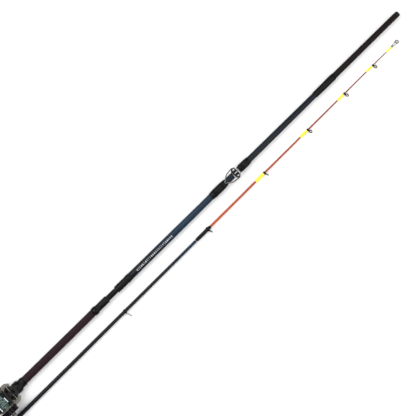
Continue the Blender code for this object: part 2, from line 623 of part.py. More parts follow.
def make_frame():
    """Foot, pedestal, two cheeks and the nose that carries the line guide, in one piece."""
    foot_low = FOOT_TOP - FOOT_THICKNESS
    foot = [(REEL_X - FOOT_HALF_LENGTH, foot_low), (REEL_X + FOOT_HALF_LENGTH, foot_low),
            (REEL_X + FOOT_HALF_LENGTH, FOOT_TOP), (REEL_X - FOOT_HALF_LENGTH, FOOT_TOP)]
    frame = add_mesh("reel_frame", prism_mesh(foot, -FOOT_HALF_WIDTH, FOOT_HALF_WIDTH),
                     "olive_metal")
    rear = FLANGE_REAR - CHEEK_MARGIN - 2 * MM
    front = FRONT_HOOD_START - 1 * MM
    floor_top = FOOT_TOP + 2 * MM
    pedestal = [(rear, foot_low + 0.5 * MM), (front, foot_low + 0.5 * MM), (front, floor_top),
                (rear, floor_top)]
    join(frame, prism_mesh(pedestal, -WALL_OUTER + 1 * MM, WALL_OUTER - 1 * MM))
    nose_top = NOSE_HEIGHT + NOSE_THICKNESS
    cheek = ([(rear, FOOT_TOP), (FLANGE_FRONT + 16 * MM, FOOT_TOP),
              (FLANGE_FRONT + 20 * MM, nose_top - 1 * MM)]
             + arc(flat(SPOOL_CENTRE), FRAME_CHEEK_RADIUS, 12, 178, 14))
    for side in (-1, 1):
        low, high = sorted((side * FRAME_INNER_HALF, side * WALL_OUTER))
        join(frame, prism_mesh(cheek, low, high))
    join(frame, prism_mesh(nose_outline(), NOSE_HEIGHT, nose_top, "Z"))
    for side in (-1, 1):
        low, high = sorted((side * (FRAME_INNER_HALF - 1 * MM), side * (WALL_OUTER + 1 * MM)))
        cut(frame, prism_mesh(circle(flat(SPOOL_CENTRE), BEARING_RADIUS + GAP), low, high))
        cut(frame, prism_mesh(circle(flat(WORM_CENTRE), WORM_RADIUS + RUN, SMALL_ROUND), low, high))


def nose_outline():
    """Plan of the nose: a horseshoe, open to the front, with rounded corners."""
    back = FLANGE_FRONT + FLANGE_CLEARANCE
    front = NOSE_FRONT
    half = NOSE_HALF_WIDTH
    corner = (front - NOSE_CORNER, half - NOSE_CORNER)
    recess = NOSE_RECESS_HALF
    well = (back + 4 * MM + 8 * MM, recess - 8 * MM)
    lip = front - 0.5 * MM
    wing = REEL_X + COVER_RADIUS + GAP
    right = [(back, -WALL_OUTER), (wing, -WALL_OUTER), (wing, -half)]
    right += arc((corner[0], -corner[1]), NOSE_CORNER, -90, -35, 4)
    right += [(lip, -recess + 1 * MM)]
    right += arc((well[0], -well[1]), 8 * MM, 270, 180, 4)
    return right + [(x, -y) for x, y in reversed(right)]


def make_covers():
    """The gear housing on the handle side and the palm cover on the other."""
    ends = (flat(DRIVE_CENTRE), flat(SPOOL_CENTRE))
    outer = stadium(*ends, COVER_RADIUS)
    inner = stadium(*ends, COVER_ROOM)
    right = add_mesh("gear_cover", prism_mesh(outer, -COVER_END, -COVER_START), "gloss_black")
    cut(right, prism_mesh(inner, -COVER_END + COVER_WALL, -COVER_START + 1 * MM))
    cut(right, prism_mesh(circle(ends[0], DRIVE_SHAFT_RADIUS + GAP, SMALL_ROUND),
                          -COVER_END - 1 * MM, -COVER_END + 2 * COVER_WALL))
    palm_face = COVER_START + PALM_DEPTH
    left = add_mesh("palm_cover", prism_mesh(outer, COVER_START, palm_face), "olive_metal")
    cut(left, prism_mesh(inner, COVER_START - 1 * MM, palm_face - COVER_WALL))


def make_reel_trim():
    half = FRAME_INNER_HALF - GAP
    offset = (SPOOL_FLANGE_RADIUS + PILLAR_RADIUS + FLANGE_CLEARANCE) * math.sqrt(0.5)
    spots = (("front_bar", REEL_X + offset, SPOOL_HEIGHT + offset, "chrome"),
             ("rear_bar", REEL_X - offset, SPOOL_HEIGHT + offset, "chrome"),
             ("guide_rail", WORM_X, WORM_HEIGHT + RAIL_RISE, "gloss_black"))
    for name, x, z, finish in spots:
        add_mesh(name, rod_mesh((x, -half, z), (x, half, z), PILLAR_RADIUS, sides=12), finish)
    top = FOOT_TOP + GAP + 2 * MM
    rear = FLANGE_REAR - 1.2 * MM
    hump = [(rear - 6 * MM, top), (rear, top), (rear, SPOOL_HEIGHT), (rear - 3 * MM, SPOOL_HEIGHT),
            (rear - 6 * MM, SPOOL_HEIGHT - 4 * MM)]
    add_mesh("rear_cover", prism_mesh(hump, -half, half), "gloss_black")
    bar = [(rear - 7 * MM, SPOOL_HEIGHT + 4 * MM), (rear - 0.5 * MM, SPOOL_HEIGHT + 4 * MM),
           (rear - 0.5 * MM, SPOOL_HEIGHT + 8 * MM), (rear - 4 * MM, SPOOL_HEIGHT + 10 * MM),
           (rear - 7 * MM, SPOOL_HEIGHT + 8 * MM)]
    add_mesh("thumb_bar", prism_mesh(bar, -half + GAP, half - GAP), "soft_black")


# ---------------------------------------------------------------- reel, moving pieces
def make_spool():
    axis = add_empty("spool_axis", SPOOL_CENTRE)
    bore = SPOOL_SHAFT_RADIUS + GAP
    half = SPOOL_HALF_WIDTH
    rim = 1.5 * MM
    turned("spool", [(-half, SPOOL_FLANGE_RADIUS), (rim - half, SPOOL_FLANGE_RADIUS),
                     (rim - half, SPOOL_ARBOR_RADIUS), (half - rim, SPOOL_ARBOR_RADIUS),
                     (half - rim, SPOOL_FLANGE_RADIUS), (half, SPOOL_FLANGE_RADIUS),
                     (half, bore), (-half, bore)], "olive_metal", ROUND, "Y", axis)
    pack = half - rim - GAP
    turned("wound_line", tube_profile(-pack, pack, LINE_RADIUS, SPOOL_ARBOR_RADIUS + GAP), "braid",
           ROUND, "Y", axis)
    gear_end = GEAR_START + GEAR_WIDTH
    shaft = add_mesh("spool_pinion_shaft", gear_mesh(PINION_TEETH, 180 / PINION_TEETH + 180
                                                     - math.degrees(-GEAR_DROP)), "brass", axis)
    join(shaft, turned_mesh([(-gear_end - 1 * MM, 0), (-gear_end - 1 * MM, SPOOL_SHAFT_RADIUS),
                             (WALL_OUTER, SPOOL_SHAFT_RADIUS), (WALL_OUTER, 0)], 16, "Y"))
    for name, side in (("gear_side_bearing", -1), ("palm_side_bearing", 1)):
        low, high = sorted((side * (FRAME_INNER_HALF + 0.2 * MM), side * (WALL_OUTER - 0.2 * MM)))
        bearing = turned_mesh(tube_profile(low, high, BEARING_RADIUS, SPOOL_SHAFT_RADIUS + RUN),
                              16, "Y")
        bearing.transform(Matrix.Translation(SPOOL_CENTRE))
        add_mesh(name, bearing, "steel")


def gear_mesh(teeth, phase):
    """A spur gear about the local Y axis; phase is the direction of one tooth, in degrees."""
    pitch = GEAR_MODULE * teeth / 2
    root = pitch - 1.15 * GEAR_MODULE
    tip = pitch + 0.9 * GEAR_MODULE
    step = 360 / teeth
    outline = []
    for tooth in range(teeth):
        middle = phase + tooth * step
        for offset, radius in ((-0.34, root), (-0.11, tip), (0.11, tip), (0.34, root)):
            angle = math.radians(middle + offset * step)
            outline.append((radius * math.cos(angle), radius * math.sin(angle)))
    return prism_mesh(outline, -GEAR_START - GEAR_WIDTH, -GEAR_START)


def make_crank():
    axis = add_empty("crank_axis", DRIVE_CENTRE)
    bore = DRIVE_SHAFT_RADIUS + GAP
    gear_end = GEAR_START + GEAR_WIDTH
    gear = add_mesh("drive_gear", gear_mesh(DRIVE_TEETH, math.degrees(GEAR_DROP)), "brass", axis)
    cut(gear, prism_mesh(circle((0, 0), bore, 16), -gear_end - 1 * MM, -GEAR_START + 1 * MM))
    shaft_end = ARM_PLACE + 3.4 * MM
    turned("drive_shaft", [(-shaft_end, 0), (-shaft_end, DRIVE_SHAFT_RADIUS),
                           (-COVER_START - 0.5 * MM, DRIVE_SHAFT_RADIUS),
                           (-COVER_START - 0.5 * MM, 0)], "steel", 16, "Y", axis)
    turned("drag_washer", tube_profile(-gear_end - GAP - DRAG_THICKNESS, -gear_end - GAP,
                                       DRAG_RADIUS, bore), "soft_black", 16, "Y", axis)
    star_axis = add_empty("star_axis", (0, 0, 0), parent=axis)
    star_mesh = prism_mesh(star_outline(), -STAR_PLACE - STAR_THICKNESS, -STAR_PLACE)
    star = add_mesh("star_drag", star_mesh, "olive_metal", star_axis)
    cut(star, prism_mesh(circle((0, 0), bore, 16), -STAR_PLACE - 4 * MM, -STAR_PLACE + 1 * MM))
    arm_face = ARM_PLACE - ARM_THICKNESS / 2
    nut_face = -arm_face - ARM_THICKNESS - GAP
    nut = add_mesh("crank_nut", prism_mesh(circle((0, 0), 4.6 * MM, 6), -shaft_end, nut_face),
                   "chrome", axis)
    cut(nut, prism_mesh(circle((0, 0), bore, 16), -shaft_end - 1 * MM, nut_face + 1 * MM))
    make_arm(axis, arm_face, bore)


def star_outline():
    """Five rounded arms."""
    outline = []
    for arm in range(5):
        for offset, radius in ((-26, 0.45), (-12, 0.85), (0, 1.0), (12, 0.85), (26, 0.45)):
            angle = math.radians(90 + arm * 72 + offset)
            outline.append((radius * STAR_RADIUS * math.cos(angle),
                            radius * STAR_RADIUS * math.sin(angle)))
    return outline


def make_arm(axis, arm_face, bore):
    """A double crank arm, upright at rest, with a pin and a free knob at each end."""
    outer = -arm_face - ARM_THICKNESS
    hub_inner = -STAR_PLACE - STAR_THICKNESS - GAP
    hub_outer = outer + 0.5 * MM
    hub = 4 * MM
    arm = add_mesh("crank_arm", prism_mesh(arm_outline(), outer, -arm_face), "olive_metal", axis)
    join(arm, turned_mesh([(hub_outer, 0), (hub_inner, 0), (hub_inner, hub), (hub_outer, hub)],
                          16, "Y"))
    cut(arm, prism_mesh(circle((0, 0), bore, 16), outer - 1 * MM, -STAR_PLACE))
    pin = PIN_RADIUS
    pin_end = outer - KNOB_LENGTH - 2.5 * MM
    for side, name in ((1, "upper_knob"), (-1, "lower_knob")):
        z = side * ARM_REACH
        join(arm, rod_mesh((0, pin_end, z), (0, outer + 0.5 * MM, z), pin, sides=12))
        knob_axis = add_empty(name + "_axis", (0, 0, z), parent=axis)
        start = outer - 1 * MM
        shape = ((1, 0.75), (0.85, 1), (0.5, 0.8), (0.15, 0.9), (0, 0.6))
        profile = [(start - share * KNOB_LENGTH, bulge * KNOB_RADIUS) for share, bulge in shape]
        profile += [(start, pin + GAP), (start - KNOB_LENGTH, pin + GAP)]
        turned(name, profile, "soft_black", 16, "Y", knob_axis)


def arm_outline():
    """Slim at its middle third and round at both ends."""
    end = 5 * MM
    waist = 3.6 * MM
    hub = 6.5 * MM
    top = arc((0, ARM_REACH), end, 0, 180, 8)
    bottom = arc((0, -ARM_REACH), end, 180, 360, 8)
    left = [(-waist, ARM_REACH * 0.5), (-hub, 0), (-waist, -ARM_REACH * 0.5)]
    right = [(waist, -ARM_REACH * 0.5), (hub, 0), (waist, ARM_REACH * 0.5)]
    return top + left + bottom + right


def make_adjusters():
    face = COVER_END + GAP
    cap_axis = add_empty("tension_cap_axis", SPOOL_CENTRE)
    turned("tension_cap", [(-face - 5.5 * MM, 0), (-face - 5.5 * MM, 4.6 * MM),
                           (-face - 4.5 * MM, 5.6 * MM), (-face, 5.6 * MM), (-face, 0)],
           "olive_metal", 16, "Y", cap_axis)
    palm = COVER_START + PALM_DEPTH + GAP
    dial_axis = add_empty("brake_dial_axis", SPOOL_CENTRE)
    turned("brake_dial", [(palm, 0), (palm, 9 * MM), (palm + 2.4 * MM, 8.4 * MM), (palm + 2.4 * MM, 0)],
           "soft_black", ROUND, "Y", dial_axis)


def make_line_guide():
    """A carriage that a cross-cut worm drives from side to side."""
    worm_axis = add_empty("worm_axis", WORM_CENTRE)
    turned("worm_shaft", [(-WALL_OUTER, 0), (-WALL_OUTER, WORM_RADIUS), (WALL_OUTER, WORM_RADIUS),
                          (WALL_OUTER, 0)], "steel", SMALL_ROUND, "Y", worm_axis)
    half = CARRIAGE_HALF_WIDTH
    depth = CARRIAGE_HALF_DEPTH
    top = RAIL_RISE + PILLAR_RADIUS + 11 * MM
    block = [(-depth, -4 * MM), (depth, -4 * MM), (depth, top - 2 * MM), (depth - 2 * MM, top),
             (2 * MM - depth, top), (-depth, top - 2 * MM)]
    guide = add_mesh("line_guide", prism_mesh(block, -half, half), "soft_black", worm_axis)
    cut(guide, prism_mesh(circle((0, 0), WORM_RADIUS + RUN, SMALL_ROUND), -2 * half, 2 * half))
    slide = circle((0, RAIL_RISE), PILLAR_RADIUS + 2 * RUN, SMALL_ROUND)
    cut(guide, prism_mesh(slide, -2 * half, 2 * half))
    eye = top - 5.2 * MM
    cut(guide, rod_mesh((-2 * depth, 0, eye), (2 * depth, 0, eye), LINE_EYE_RADIUS, sides=12))


def make_nose_cover():
    """The dark flared plate that closes the nose underneath the line guide."""
    low = HOOD_MOUTH_RADIUS + GAP
    start = FLANGE_FRONT + 5 * MM
    end = NOSE_FRONT
    half = NOSE_RECESS_HALF - 2 * MM
    plate = [(start, -half * 0.7), (start + 7 * MM, -half), (end, -FRONT_HOOD_RADIUS),
             (end, FRONT_HOOD_RADIUS), (start + 7 * MM, half), (start, half * 0.7)]
    add_mesh("nose_cover", prism_mesh(plate, low, low + 1.4 * MM, "Z"), "gloss_black")


def main():
    clear_scene()
    make_handle()
    make_butt_section()
    make_tip_section()
    make_frame()
    make_covers()
    make_reel_trim()
    make_spool()
    make_crank()
    make_adjusters()
    make_line_guide()
    make_nose_cover()
    bpy.context.view_layer.update()


main()
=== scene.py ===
"""Looks of a two-piece boat rod with a low-profile multiplier reel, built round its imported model."""

import json
import math

import bmesh
import bpy
import numpy as np
from mathutils import Matrix, Vector


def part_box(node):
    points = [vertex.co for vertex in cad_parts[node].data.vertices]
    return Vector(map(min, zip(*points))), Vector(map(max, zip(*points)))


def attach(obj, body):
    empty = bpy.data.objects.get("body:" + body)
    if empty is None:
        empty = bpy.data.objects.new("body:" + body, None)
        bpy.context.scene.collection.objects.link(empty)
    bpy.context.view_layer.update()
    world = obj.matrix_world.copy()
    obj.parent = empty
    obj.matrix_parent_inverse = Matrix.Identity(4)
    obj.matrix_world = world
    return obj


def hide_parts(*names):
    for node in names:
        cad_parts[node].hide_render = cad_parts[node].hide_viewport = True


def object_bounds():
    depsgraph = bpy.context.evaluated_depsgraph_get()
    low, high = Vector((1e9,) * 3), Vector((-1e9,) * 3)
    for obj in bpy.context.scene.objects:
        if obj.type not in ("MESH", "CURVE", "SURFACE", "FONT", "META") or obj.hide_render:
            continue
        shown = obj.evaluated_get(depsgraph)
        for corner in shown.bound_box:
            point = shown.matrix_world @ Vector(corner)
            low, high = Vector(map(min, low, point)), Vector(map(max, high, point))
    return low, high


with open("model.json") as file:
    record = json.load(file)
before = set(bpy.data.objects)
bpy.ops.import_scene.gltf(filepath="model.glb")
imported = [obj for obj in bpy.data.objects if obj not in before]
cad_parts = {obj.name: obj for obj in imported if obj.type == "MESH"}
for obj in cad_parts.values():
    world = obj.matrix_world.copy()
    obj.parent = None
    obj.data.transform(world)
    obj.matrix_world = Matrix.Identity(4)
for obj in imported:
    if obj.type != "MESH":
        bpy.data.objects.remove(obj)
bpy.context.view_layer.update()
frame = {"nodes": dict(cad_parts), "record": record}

MM = 0.001
SIDES = 64
# gap between a rebuilt piece and the piece beside it
FIT = 0.3 * MM
ROD_AXIS = (Vector((0, 0, 0)), Vector((1, 0, 0)))


# ---------------------------------------------------------------- shader maths
class Wire:
    """A socket that takes part in Python arithmetic."""

    def __init__(self, finish, socket):
        self.finish = finish
        self.socket = socket

    def _math(self, operation, *values):
        return self.finish.node("ShaderNodeMath", {"operation": operation}, dict(enumerate(values)))

    def __add__(self, other):
        return self._math("ADD", self, other)

    def __mul__(self, other):
        return self._math("MULTIPLY", self, other)

    def __sub__(self, other):
        return self._math("SUBTRACT", self, other)

    def __rsub__(self, other):
        return self._math("SUBTRACT", other, self)

    def __truediv__(self, other):
        return self._math("DIVIDE", self, other)

    def power(self, exponent):
        return self._math("POWER", self, exponent)

    def sine(self):
        return self._math("SINE", self)

    def size(self):
        return self._math("ABSOLUTE", self)

    def over(self, limit):
        return self._math("GREATER_THAN", self, limit)

    __radd__ = __add__
    __rmul__ = __mul__


class Finish:
    """A material, its Principled shader and the nodes in front of it."""

    def __init__(self, name, **uniform):
        self.material = bpy.data.materials.new(name)
        self.material.use_nodes = True
        self.tree = self.material.node_tree
        self.shader = self.tree.nodes["Principled BSDF"]
        for socket, value in uniform.items():
            self.shader.inputs[socket.replace("_", " ")].default_value = value

    def node(self, kind, settings=None, values=None, output=0):
        made = self.tree.nodes.new(kind)
        for key, value in (settings or {}).items():
            if key == "stops":
                self._set_stops(made.color_ramp, value)
            else:
                setattr(made, key, value)
        for key, value in (values or {}).items():
            if isinstance(value, Wire):
                self.tree.links.new(value.socket, made.inputs[key])
            else:
                made.inputs[key].default_value = value
        return Wire(self, made.outputs[output])

    @staticmethod
    def _set_stops(ramp, stops):
        while len(ramp.elements) < len(stops):
            ramp.elements.new(1)
        for element, (place, colour) in zip(ramp.elements, stops):
            element.position = place
            element.color = (*colour, 1)

    def place(self):
        """Object coordinates, whole and split."""
        point = self.node("ShaderNodeTexCoord", output="Object")
        axes = [self.node("ShaderNodeSeparateXYZ", values={0: point}, output=axis) for axis in "XYZ"]
        return (point, *axes)

    def noise(self, point, scale, detail=4, stretch=(1, 1, 1)):
        moved = self.node("ShaderNodeMapping", values={"Vector": point, "Scale": stretch})
        return self.node("ShaderNodeTexNoise", values={"Vector": moved, "Scale": scale, "Detail": detail},
                         output="Fac")

    def mix(self, share, first, second):
        values = {"Factor": share, 6: self._colour(first), 7: self._colour(second)}
        return self.node("ShaderNodeMix", {"data_type": "RGBA"}, values, output=2)

    @staticmethod
    def _colour(value):
        return value if isinstance(value, Wire) else (*value, 1)

    def ramp(self, share, stops):
        return self.node("ShaderNodeValToRGB", {"stops": stops}, {"Fac": share})

    def wear(self, point, low, high, scale=900):
        """Uneven roughness between two values."""
        return self.noise(point, scale) * (high - low) + low

    def feed(self, **sockets):
        for name, value in sockets.items():
            self.tree.links.new(value.socket, self.shader.inputs[name.replace("_", " ")])

    def bump(self, height, strength, distance):
        made = self.node("ShaderNodeBump", values={"Height": height, "Strength": strength,
                                                   "Distance": distance}, output="Normal")
        self.feed(Normal=made)

    def around(self, across, upward):
        """The angle about a lengthwise axis."""
        return self.node("ShaderNodeMath", {"operation": "ARCTAN2"}, {0: across, 1: upward})


# ---------------------------------------------------------------- finishes
GRIP_STRANDS = 12
LOW_SPECULAR = 0.08
FIBRE_STRETCH = (0.05, 1, 1)
THREAD_WIDTH = 0.0004


def woven_grip():
    """Crossed strands, with a painted plum sheen where they rise and near black between them."""
    finish = Finish("woven_grip", Specular_IOR_Level=LOW_SPECULAR)
    point, x, y, z = finish.place()
    angle = finish.around(y, z)
    slope = 900
    strands = (angle * GRIP_STRANDS + x * slope).sine() * (angle * GRIP_STRANDS - x * slope).sine()
    mask = strands.over(0.12)
    cloud = finish.noise(point, 240)
    dark = finish.mix(cloud, (0.003, 0.0025, 0.0035), (0.008, 0.006, 0.008))
    # the plum on the raised strands is a painted sheen over the near-black grip
    plum_sheen = finish.mix(cloud, (0.022, 0.008, 0.011), (0.055, 0.022, 0.028))
    finish.feed(Base_Color=finish.mix(mask, dark, plum_sheen), Roughness=finish.wear(point, 0.38, 0.62))
    finish.bump(strands, 0.4, 0.0004)
    return finish.material


def lacquer(name, low, high, rough=(0.10, 0.2), grain=2600):
    """Dark gloss lacquer over fine lengthwise fibre."""
    finish = Finish(name, Coat_Roughness=0.08, Specular_IOR_Level=LOW_SPECULAR, Coat_Weight=0.04)
    point = finish.place()[0]
    fibre = finish.noise(point, grain, 3, (0.06, 1, 1))
    cloud = finish.noise(point, 30, 2)
    finish.feed(Base_Color=finish.mix(fibre * cloud * 1.6, low, high),
                Roughness=finish.wear(point, *rough))
    finish.bump(fibre, 0.08, 0.0001)
    return finish.material


def blank_lacquer():
    """Near-black carbon with a slate blue stretch a little ahead of the collar."""
    finish = Finish("blank_lacquer", Coat_Roughness=0.08, Coat_Weight=0.05, Specular_IOR_Level=0.1)
    point, x = finish.place()[:2]
    fibre = finish.noise(point, 2400, 3, FIBRE_STRETCH)
    blank_start, stretch = 0.80, 0.60
    along = finish.ramp((x - blank_start) / stretch, [
        (0, (0.003, 0.003, 0.004)), (0.12, (0.004, 0.007, 0.012)), (0.28, (0.010, 0.030, 0.060)),
        (0.55, (0.005, 0.008, 0.012)), (1, (0.007, 0.009, 0.013))])
    finish.feed(Base_Color=finish.mix(fibre * 0.4, along, (0.014, 0.019, 0.028)),
                Roughness=finish.wear(point, 0.14, 0.26))
    finish.bump(fibre, 0.08, 0.0001)
    return finish.material


def matte(name, low, high, rough=(0.45, 0.65), grain=1500, relief=0.15):
    """Fine-grained rubber, paint or bare carbon."""
    finish = Finish(name, Specular_IOR_Level=LOW_SPECULAR)
    point = finish.place()[0]
    grain_field = finish.noise(point, grain, 5)
    finish.feed(Base_Color=finish.mix(grain_field, low, high), Roughness=finish.wear(point, *rough))
    finish.bump(grain_field, relief, 0.0002)
    return finish.material


def glass_fibre():
    """Solid glass rod, orange where it is thick and red-brown towards its tip."""
    finish = Finish("glass_fibre", Coat_Roughness=0.1, Coat_Weight=0.15, Specular_IOR_Level=0.25)
    point, x = finish.place()[:2]
    start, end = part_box("glass_tip")
    share = (x - start[0]) / (end[0] - start[0])
    along = finish.ramp(share, [(0, (0.44, 0.060, 0.0)), (0.35, (0.33, 0.036, 0.001)),
                                (0.7, (0.22, 0.024, 0.006)), (1, (0.15, 0.022, 0.012))])
    fibre = finish.noise(point, 2200, 3, FIBRE_STRETCH)
    finish.feed(Base_Color=finish.mix(fibre * 0.35, along, (0.18, 0.02, 0.002)),
                Roughness=finish.wear(point, 0.15, 0.3))
    return finish.material


def wound_thread(name, low, high):
    """Thread turns laid side by side under lacquer."""
    finish = Finish(name, Coat_Roughness=0.08, Coat_Weight=0.5)
    point, x = finish.place()[:2]
    turns = (x * (2 * math.pi / THREAD_WIDTH)).sine()
    cloud = finish.noise(point, 500)
    finish.feed(Base_Color=finish.mix(cloud, low, high), Roughness=finish.wear(point, 0.2, 0.35))
    finish.bump(turns, 0.25, 0.0001)
    return finish.material


def metal(name, low, high, rough, grain=1800, stretch=(1, 1, 1)):
    """Bare or tinted metal with faint tool marks."""
    finish = Finish(name, Metallic=1.0)
    point = finish.place()[0]
    marks = finish.noise(point, grain, 3, stretch)
    finish.feed(Base_Color=finish.mix(marks, low, high), Roughness=finish.wear(point, *rough))
    finish.bump(marks, 0.05, 0.0001)
    return finish.material


def painted_metal():
    """Satin metallic paint of a warm olive grey, with fine pale flakes."""
    finish = Finish("olive_paint", Coat_Roughness=0.15, Coat_Weight=0.35, Metallic=0.65)
    point = finish.place()[0]
    flake = finish.noise(point, 5200, 2)
    cloud = finish.noise(point, 60, 3)
    base = finish.mix(cloud, (0.040, 0.037, 0.028), (0.070, 0.066, 0.052))
    finish.feed(Base_Color=finish.mix(flake * 0.6, base, (0.13, 0.127, 0.105)),
                Roughness=finish.wear(point, 0.28, 0.42))
    finish.bump(flake, 0.06, 0.0001)
    return finish.material


def braided_line():
    """Line dyed in lengths of teal, green, blue and red, with pale lengths that are painted highlights."""
    finish = Finish("braided_line", Specular_IOR_Level=0.4)
    point = finish.place()[0]
    bands = finish.noise(point, 260, 1, (0.35, 1.4, 0.35))
    # the pale grey-white stop is a painted highlight on the line; the other stops are its dyes
    dyes_and_glints = finish.node("ShaderNodeValToRGB", {"stops": [
        (0.0, (0.004, 0.010, 0.02)), (0.42, (0.008, 0.06, 0.055)), (0.50, (0.015, 0.09, 0.04)),
        (0.57, (0.50, 0.55, 0.58)), (0.61, (0.006, 0.02, 0.03)), (0.70, (0.12, 0.03, 0.02))]},
        {"Fac": bands})
    twist = finish.noise(point, 4200, 2)
    finish.feed(Base_Color=finish.mix(twist * 0.5, dyes_and_glints, (0.02, 0.03, 0.03)),
                Roughness=finish.wear(point, 0.5, 0.7))
    finish.bump(twist, 0.3, 0.0001)
    return finish.material


WEAVE = woven_grip()
GLOSS = lacquer("gloss_black_lacquer", (0.0015, 0.0015, 0.002), (0.007, 0.007, 0.008))
BLANK = blank_lacquer()
RUBBER = matte("black_rubber", (0.008, 0.008, 0.009), (0.022, 0.021, 0.021), (0.55, 0.75))
SLEEVE = matte("matte_sleeve", (0.005, 0.003, 0.003), (0.013, 0.008, 0.008), (0.38, 0.5), 900, 0.1)
GLASS_ROD = glass_fibre()
YELLOW = wound_thread("yellow_thread", (0.86, 0.74, 0.0), (0.94, 0.82, 0.0))
STEEL = metal("polished_steel", (0.42, 0.41, 0.39), (0.62, 0.61, 0.58), (0.12, 0.25))
SMOKED = metal("smoked_steel", (0.10, 0.095, 0.09), (0.20, 0.19, 0.18), (0.2, 0.3))
CHROME = metal("chrome_plate", (0.80, 0.81, 0.83), (0.90, 0.90, 0.92), (0.04, 0.12))
CERAMIC = lacquer("black_ceramic", (0.006, 0.006, 0.007), (0.02, 0.02, 0.022), (0.05, 0.12), 1200)
OLIVE = painted_metal()
BRASS = metal("machined_brass", (0.52, 0.36, 0.12), (0.70, 0.50, 0.18), (0.2, 0.35))
LINE = braided_line()
PRINT = matte("pale_print", (0.88, 0.89, 0.90), (0.97, 0.98, 0.98), (0.35, 0.5), 1500, 0.05)
SLOT_FINISH = {"grip_weave": WEAVE, "soft_black": RUBBER, "gloss_black": GLOSS, "blank_blue": BLANK,
               "matte_brown": SLEEVE, "orange_glass": GLASS_ROD, "yellow_thread": YELLOW,
               "steel": STEEL, "chrome": CHROME, "ceramic": CERAMIC, "olive_metal": OLIVE,
               "brass": BRASS, "braid": LINE}
NODE_SLOT = {row["node"]: row["material_slot"] for row in frame["record"]["subparts"]}
NODE_BODY = {node: body for body, nodes in frame["record"]["behaviour"]["bodies"].items()
             for node in nodes}


# ---------------------------------------------------------------- mesh helpers
def new_piece(name, bm, material, body, smooth=35):
    """Finishes a mesh at the origin and puts it on its body."""
    bmesh.ops.recalc_face_normals(bm, faces=bm.faces)
    mesh = bpy.data.meshes.new(name)
    bm.to_mesh(mesh)
    bm.free()
    mesh.materials.append(material)
    mesh.shade_smooth()
    mesh.set_sharp_from_angle(angle=math.radians(smooth))
    piece = bpy.data.objects.new(name, mesh)
    bpy.context.scene.collection.objects.link(piece)
    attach(piece, body)
    return piece


def points_of(node):
    mesh = frame["nodes"][node].data
    flat = np.empty(len(mesh.vertices) * 3)
    mesh.vertices.foreach_get("co", flat)
    return flat.reshape(-1, 3)


def end_centres(node):
    """The middle points of a rod's two end faces."""
    points = points_of(node)
    low, high = points[:, 0].min(), points[:, 0].max()
    ends = [points[abs(points[:, 0] - x) < 0.5 * MM] for x in (low, high)]
    return [Vector((end.min(axis=0) + end.max(axis=0)) / 2) for end in ends]


def axis_frame(axis):
    """A matrix that carries +X onto an axis, given as a point and a direction."""
    origin, direction = axis
    turn = Vector((1, 0, 0)).rotation_difference(direction).to_matrix().to_4x4()
    return Matrix.Translation(origin) @ turn


# fineness, in millimetres, with which stations and radii are told apart
STATION_GRAIN = 0.05
RADIUS_GRAIN = 0.02


def outline_of(node, axis):
    """Stations and radii of a turned node's outside, read from its corners; steps in its bore drop out."""
    to_axis = axis_frame(axis).inverted()
    rings = {}
    for point in points_of(node):
        local = to_axis @ Vector(point)
        station = round(local.x / (STATION_GRAIN * MM))
        rings.setdefault(station, set()).add(round(math.hypot(local.y, local.z) / (RADIUS_GRAIN * MM)))
    outside = [(s * STATION_GRAIN * MM, max(rings[s]) * RADIUS_GRAIN * MM) for s in sorted(rings)]
    kept = [outside[0]]
    for place, (station, radius) in enumerate(outside[1:-1], start=1):
        before, after = kept[-1], outside[place + 1]
        share = (station - before[0]) / (after[0] - before[0])
        if radius > 0.95 * (before[1] + share * (after[1] - before[1])):
            kept.append((station, radius))
    return kept + [outside[-1]]


def spin_outline(outline, axis, sides=SIDES):
    """A shell made by turning (station, radius) points about an axis."""
    bm = bmesh.new()
    rings = []
    for station, radius in outline:
        if radius < 1e-6:
            rings.append([bm.verts.new((station, 0, 0))] * sides)
            continue
        angles = [2 * math.pi * i / sides for i in range(sides)]
        rings.append([bm.verts.new((station, radius * math.sin(a), radius * math.cos(a)))
                      for a in angles])
    for first, second in zip(rings, rings[1:]):
        for i in range(sides):
            j = (i + 1) % sides
            corners = list(dict.fromkeys((first[i], first[j], second[j], second[i])))
            if len(corners) > 2:
                bm.faces.new(corners)
    bm.transform(axis_frame(axis))
    return bm


def skin_rings(bm, rings):
    """Faces between each ring of corners and the next."""
    for first, second in zip(rings, rings[1:]):
        for i in range(len(first)):
            j = (i + 1) % len(first)
            bm.faces.new((first[i], first[j], second[j], second[i]))


def round_corners(outline, radius, steps=3):
    """Replaces each inner point of an outline by a short curve."""
    smooth = [outline[0]]
    for before, here, after in zip(outline, outline[1:], outline[2:]):
        a, b, c = (Vector(point) for point in (before, here, after))
        reach_in = min(radius, (b - a).length * 0.45)
        reach_out = min(radius, (c - b).length * 0.45)
        start = b + (a - b).normalized() * reach_in
        end = b + (c - b).normalized() * reach_out
        for step in range(steps + 1):
            t = step / steps
            smooth.append(tuple((1 - t) ** 2 * start + 2 * t * (1 - t) * b + t ** 2 * end))
    return smooth + [outline[-1]]


def radius_at(node, station, axis=ROD_AXIS):
    """The outer radius of a turned node near a station."""
    to_axis = axis_frame(axis).inverted()
    local = [to_axis @ Vector(point) for point in points_of(node)]
    return max(math.hypot(p.y, p.z) for p in local if abs(p.x - station) < 0.2 * MM)


def turn_node(node, axis, material=None, bore=0.0, corner=0.5 * MM, sides=SIDES, outside=None):
    """A finely turned piece in place of a faceted turned node."""
    outside = outside or outline_of(node, axis)
    outline = [(outside[0][0], bore)] + outside + [(outside[-1][0], bore)]
    outline = round_corners(outline, corner)
    if bore > 0:
        outline.append(outline[0])
    bm = spin_outline(outline, axis, sides)
    bmesh.ops.remove_doubles(bm, verts=bm.verts, dist=1e-7)
    slot = NODE_SLOT[node]
    piece = new_piece(node + "_turned", bm, material or SLOT_FINISH[slot], NODE_BODY[node])
    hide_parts(node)
    return piece


